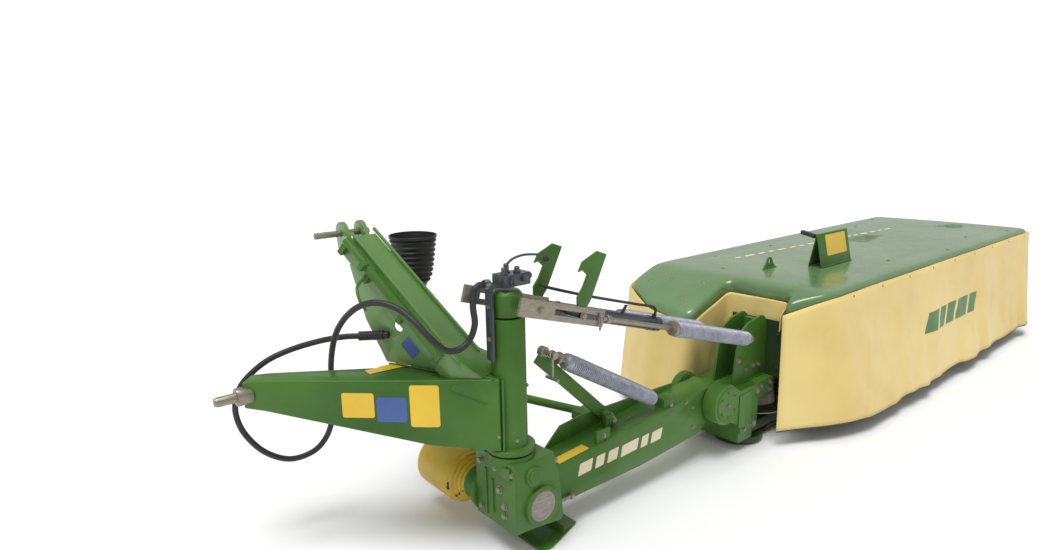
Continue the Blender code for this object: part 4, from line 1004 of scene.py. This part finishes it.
def curtain_panel(name, path, tops, bottoms, flares, radius, seed):
    """A hung sheet with soft folds; path runs along the hood's edge, its outside to the right.

    A flare is the shift from the top edge to the hem, seen from above.
    """
    corners = [Vector(p) for p in path]
    spans = lengths(corners)
    line = rounded(path, radius, 5, loop=False)
    fine = [line[0]]
    for a, b in zip(line, line[1:]):
        parts = max(1, ceil((b - a).length / CURTAIN_STEP))
        fine += [a.lerp(b, k / parts) for k in range(1, parts + 1)]
    travelled = lengths(fine)
    stretch = spans[-1] / travelled[-1]

    def blend_at(values, distance):
        for i in range(len(spans) - 1):
            if distance <= spans[i + 1] or i == len(spans) - 2:
                share = min(1.0, max(0.0, (distance - spans[i]) / (spans[i + 1] - spans[i])))
                return values[i] + (values[i + 1] - values[i]) * share

    rows, columns = 22, []
    for i, here in enumerate(fine):
        before, after = fine[max(i - 1, 0)], fine[min(i + 1, len(fine) - 1)]
        heading = (after - before).normalized()
        out = -heading.orthogonal()
        distance = travelled[i] * stretch
        top = blend_at(tops, distance) - hood_drop(here.x)
        bottom = blend_at(bottoms, distance) + 0.007 * sin(distance * 9.0 + seed)
        flare = blend_at(flares, distance)
        column = []
        for row in range(rows + 1):
            fall = row / rows
            z = top + (bottom - top) * fall
            wave = (sin(distance * 6.3 + seed + 0.8 * fall) * 0.5
                    + sin(distance * 15.0 + seed * 2.3 - fall) * 0.42
                    + sin(distance * 29.0 + seed * 3.1 + 1.4 * fall) * 0.22)
            crease = noise.noise(Vector((distance * 3.1, z * 4.2, seed))) * 0.9
            fine_crease = noise.noise(Vector((distance * 9.0 + z * 5.0, z * 6.0 - distance, seed + 9))) * 0.35
            folded = (0.002 + 0.0175 * fall ** 0.7) * (wave + crease + fine_crease)
            near_edge = min(distance, spans[-1] - distance)
            folded *= min(1.0, 0.25 + near_edge / 0.15)
            place = here + flare * fall ** 1.15 + out * max(CURTAIN_GAP + folded, CURTAIN_LEAST_GAP)
            column.append((place.x, place.y, z))
        columns.append(column)
    hung = Shape()
    hung.wall(columns, loop=False)
    sheet = hung.made(name, "deck", CREAM, 80)
    thicken(sheet, CURTAIN_SHEET, 0)
    hem = [column[-1] for column in columns]
    binding = Shape().tube(hem, 0.0032, 6).made(f"{name}_binding", "deck", DARK_GREEN, 60)
    return sheet


def add_curtains():
    """Four sheets hung round the hood, the inner one cut away over the notch; the rear one is given back."""
    edge = offset_outline(HOOD_CORNERS, -0.001)
    outer_rear, outer_front, inner_front, inner_mid, notch_a, notch_b, notch_c, notch_d, inner_rear = edge
    seam, low, rim, notch_rim = CURTAIN_SEAM, CURTAIN_BOTTOM, 0.772, 0.74
    still = Vector((0, 0))
    rear_flare, front_flare = Vector((CURTAIN_FLARE, -CURTAIN_FLARE)), Vector((CURTAIN_FLARE, CURTAIN_FLARE))
    rear = curtain_panel("rear_curtain_sheet", [notch_d, inner_rear, (outer_rear.x - seam, outer_rear.y)],
                         [notch_rim + 0.01, rim, rim], [low] * 3,
                         [still, REAR_CORNER_SHIFT, rear_flare], 0.05, 0.4)
    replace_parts(rear, "curtain_rear")
    outer = curtain_panel("outer_curtain_sheet", [outer_rear, outer_front], [rim] * 2, [low] * 2,
                          [rear_flare, front_flare], 0.05, 2.1)
    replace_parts(outer, "curtain_outer")
    front = curtain_panel("front_curtain_sheet",
                          [(outer_front.x - seam, outer_front.y), (inner_front.x + seam, inner_front.y)],
                          [rim] * 2, [low] * 2, [front_flare, FRONT_CORNER_SHIFT], 0.05, 3.7)
    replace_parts(front, "curtain_front")
    inner_end = (notch_d.x + seam, notch_d.y + 0.003)
    inner = curtain_panel("inner_curtain_sheet", [inner_front, inner_mid, notch_a, notch_b, notch_c, inner_end],
                          [rim, rim, notch_rim + 0.01] + [notch_rim] * 3, [low] * 3 + [0.36, 0.6, 0.6],
                          [FRONT_CORNER_SHIFT, Vector((-0.028, 0.008))] + [still] * 4, 0.04, 5.2)
    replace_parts(inner, "curtain_inner")
    return rear


def add_curtain_marks(sheet):
    """A plain slanted mark on the rear curtain, and studs along its top edge."""
    tree = BVHTree.FromObject(sheet, bpy.context.evaluated_depsgraph_get())
    mark = Shape()
    place, steps = 2.63, 6
    for width in (0.15, 0.09, 0.12, 0.17, 0.1):
        rings = []
        for a in range(steps + 1):
            x = place + width * a / steps
            line = [tree.ray_cast((x + 0.035 + 0.04 * b / steps, -0.6, 0.38 + 0.12 * b / steps), Y)[0]
                    for b in range(steps + 1)]
            rings.append([p - Y * 0.0012 for p in line] + [p + Y * 0.0002 for p in reversed(line)])
        mark.skin(rings)
        place += width + 0.035
    mark.made("rear_curtain_mark", "deck", MARK_GREEN, 80)
    studs = Shape()
    for step in range(9):
        place, normal, _, _ = tree.ray_cast((1.8 + 0.325 * step, -0.6, 0.752), Y)
        if place:
            studs.turned([(7, -1), (7, 1), (4, 2)], place, normal, 12)
    studs.made("curtain_studs", "deck", ZINC, 50)


add_camera()
add_hose()
add_stage()
dress_nodes()
refine_frames()
add_bolts()
add_housing_details()
add_welds()
add_lift_springs()
add_relief_spring()
add_cylinder_parts()
add_valve_parts()
add_drive_shaft()
add_lock_bar()
add_beam_gusset()
add_guard_details()
add_bracket_back()
add_foot_pin()
add_plates()
add_hood()
add_curtain_marks(add_curtains())
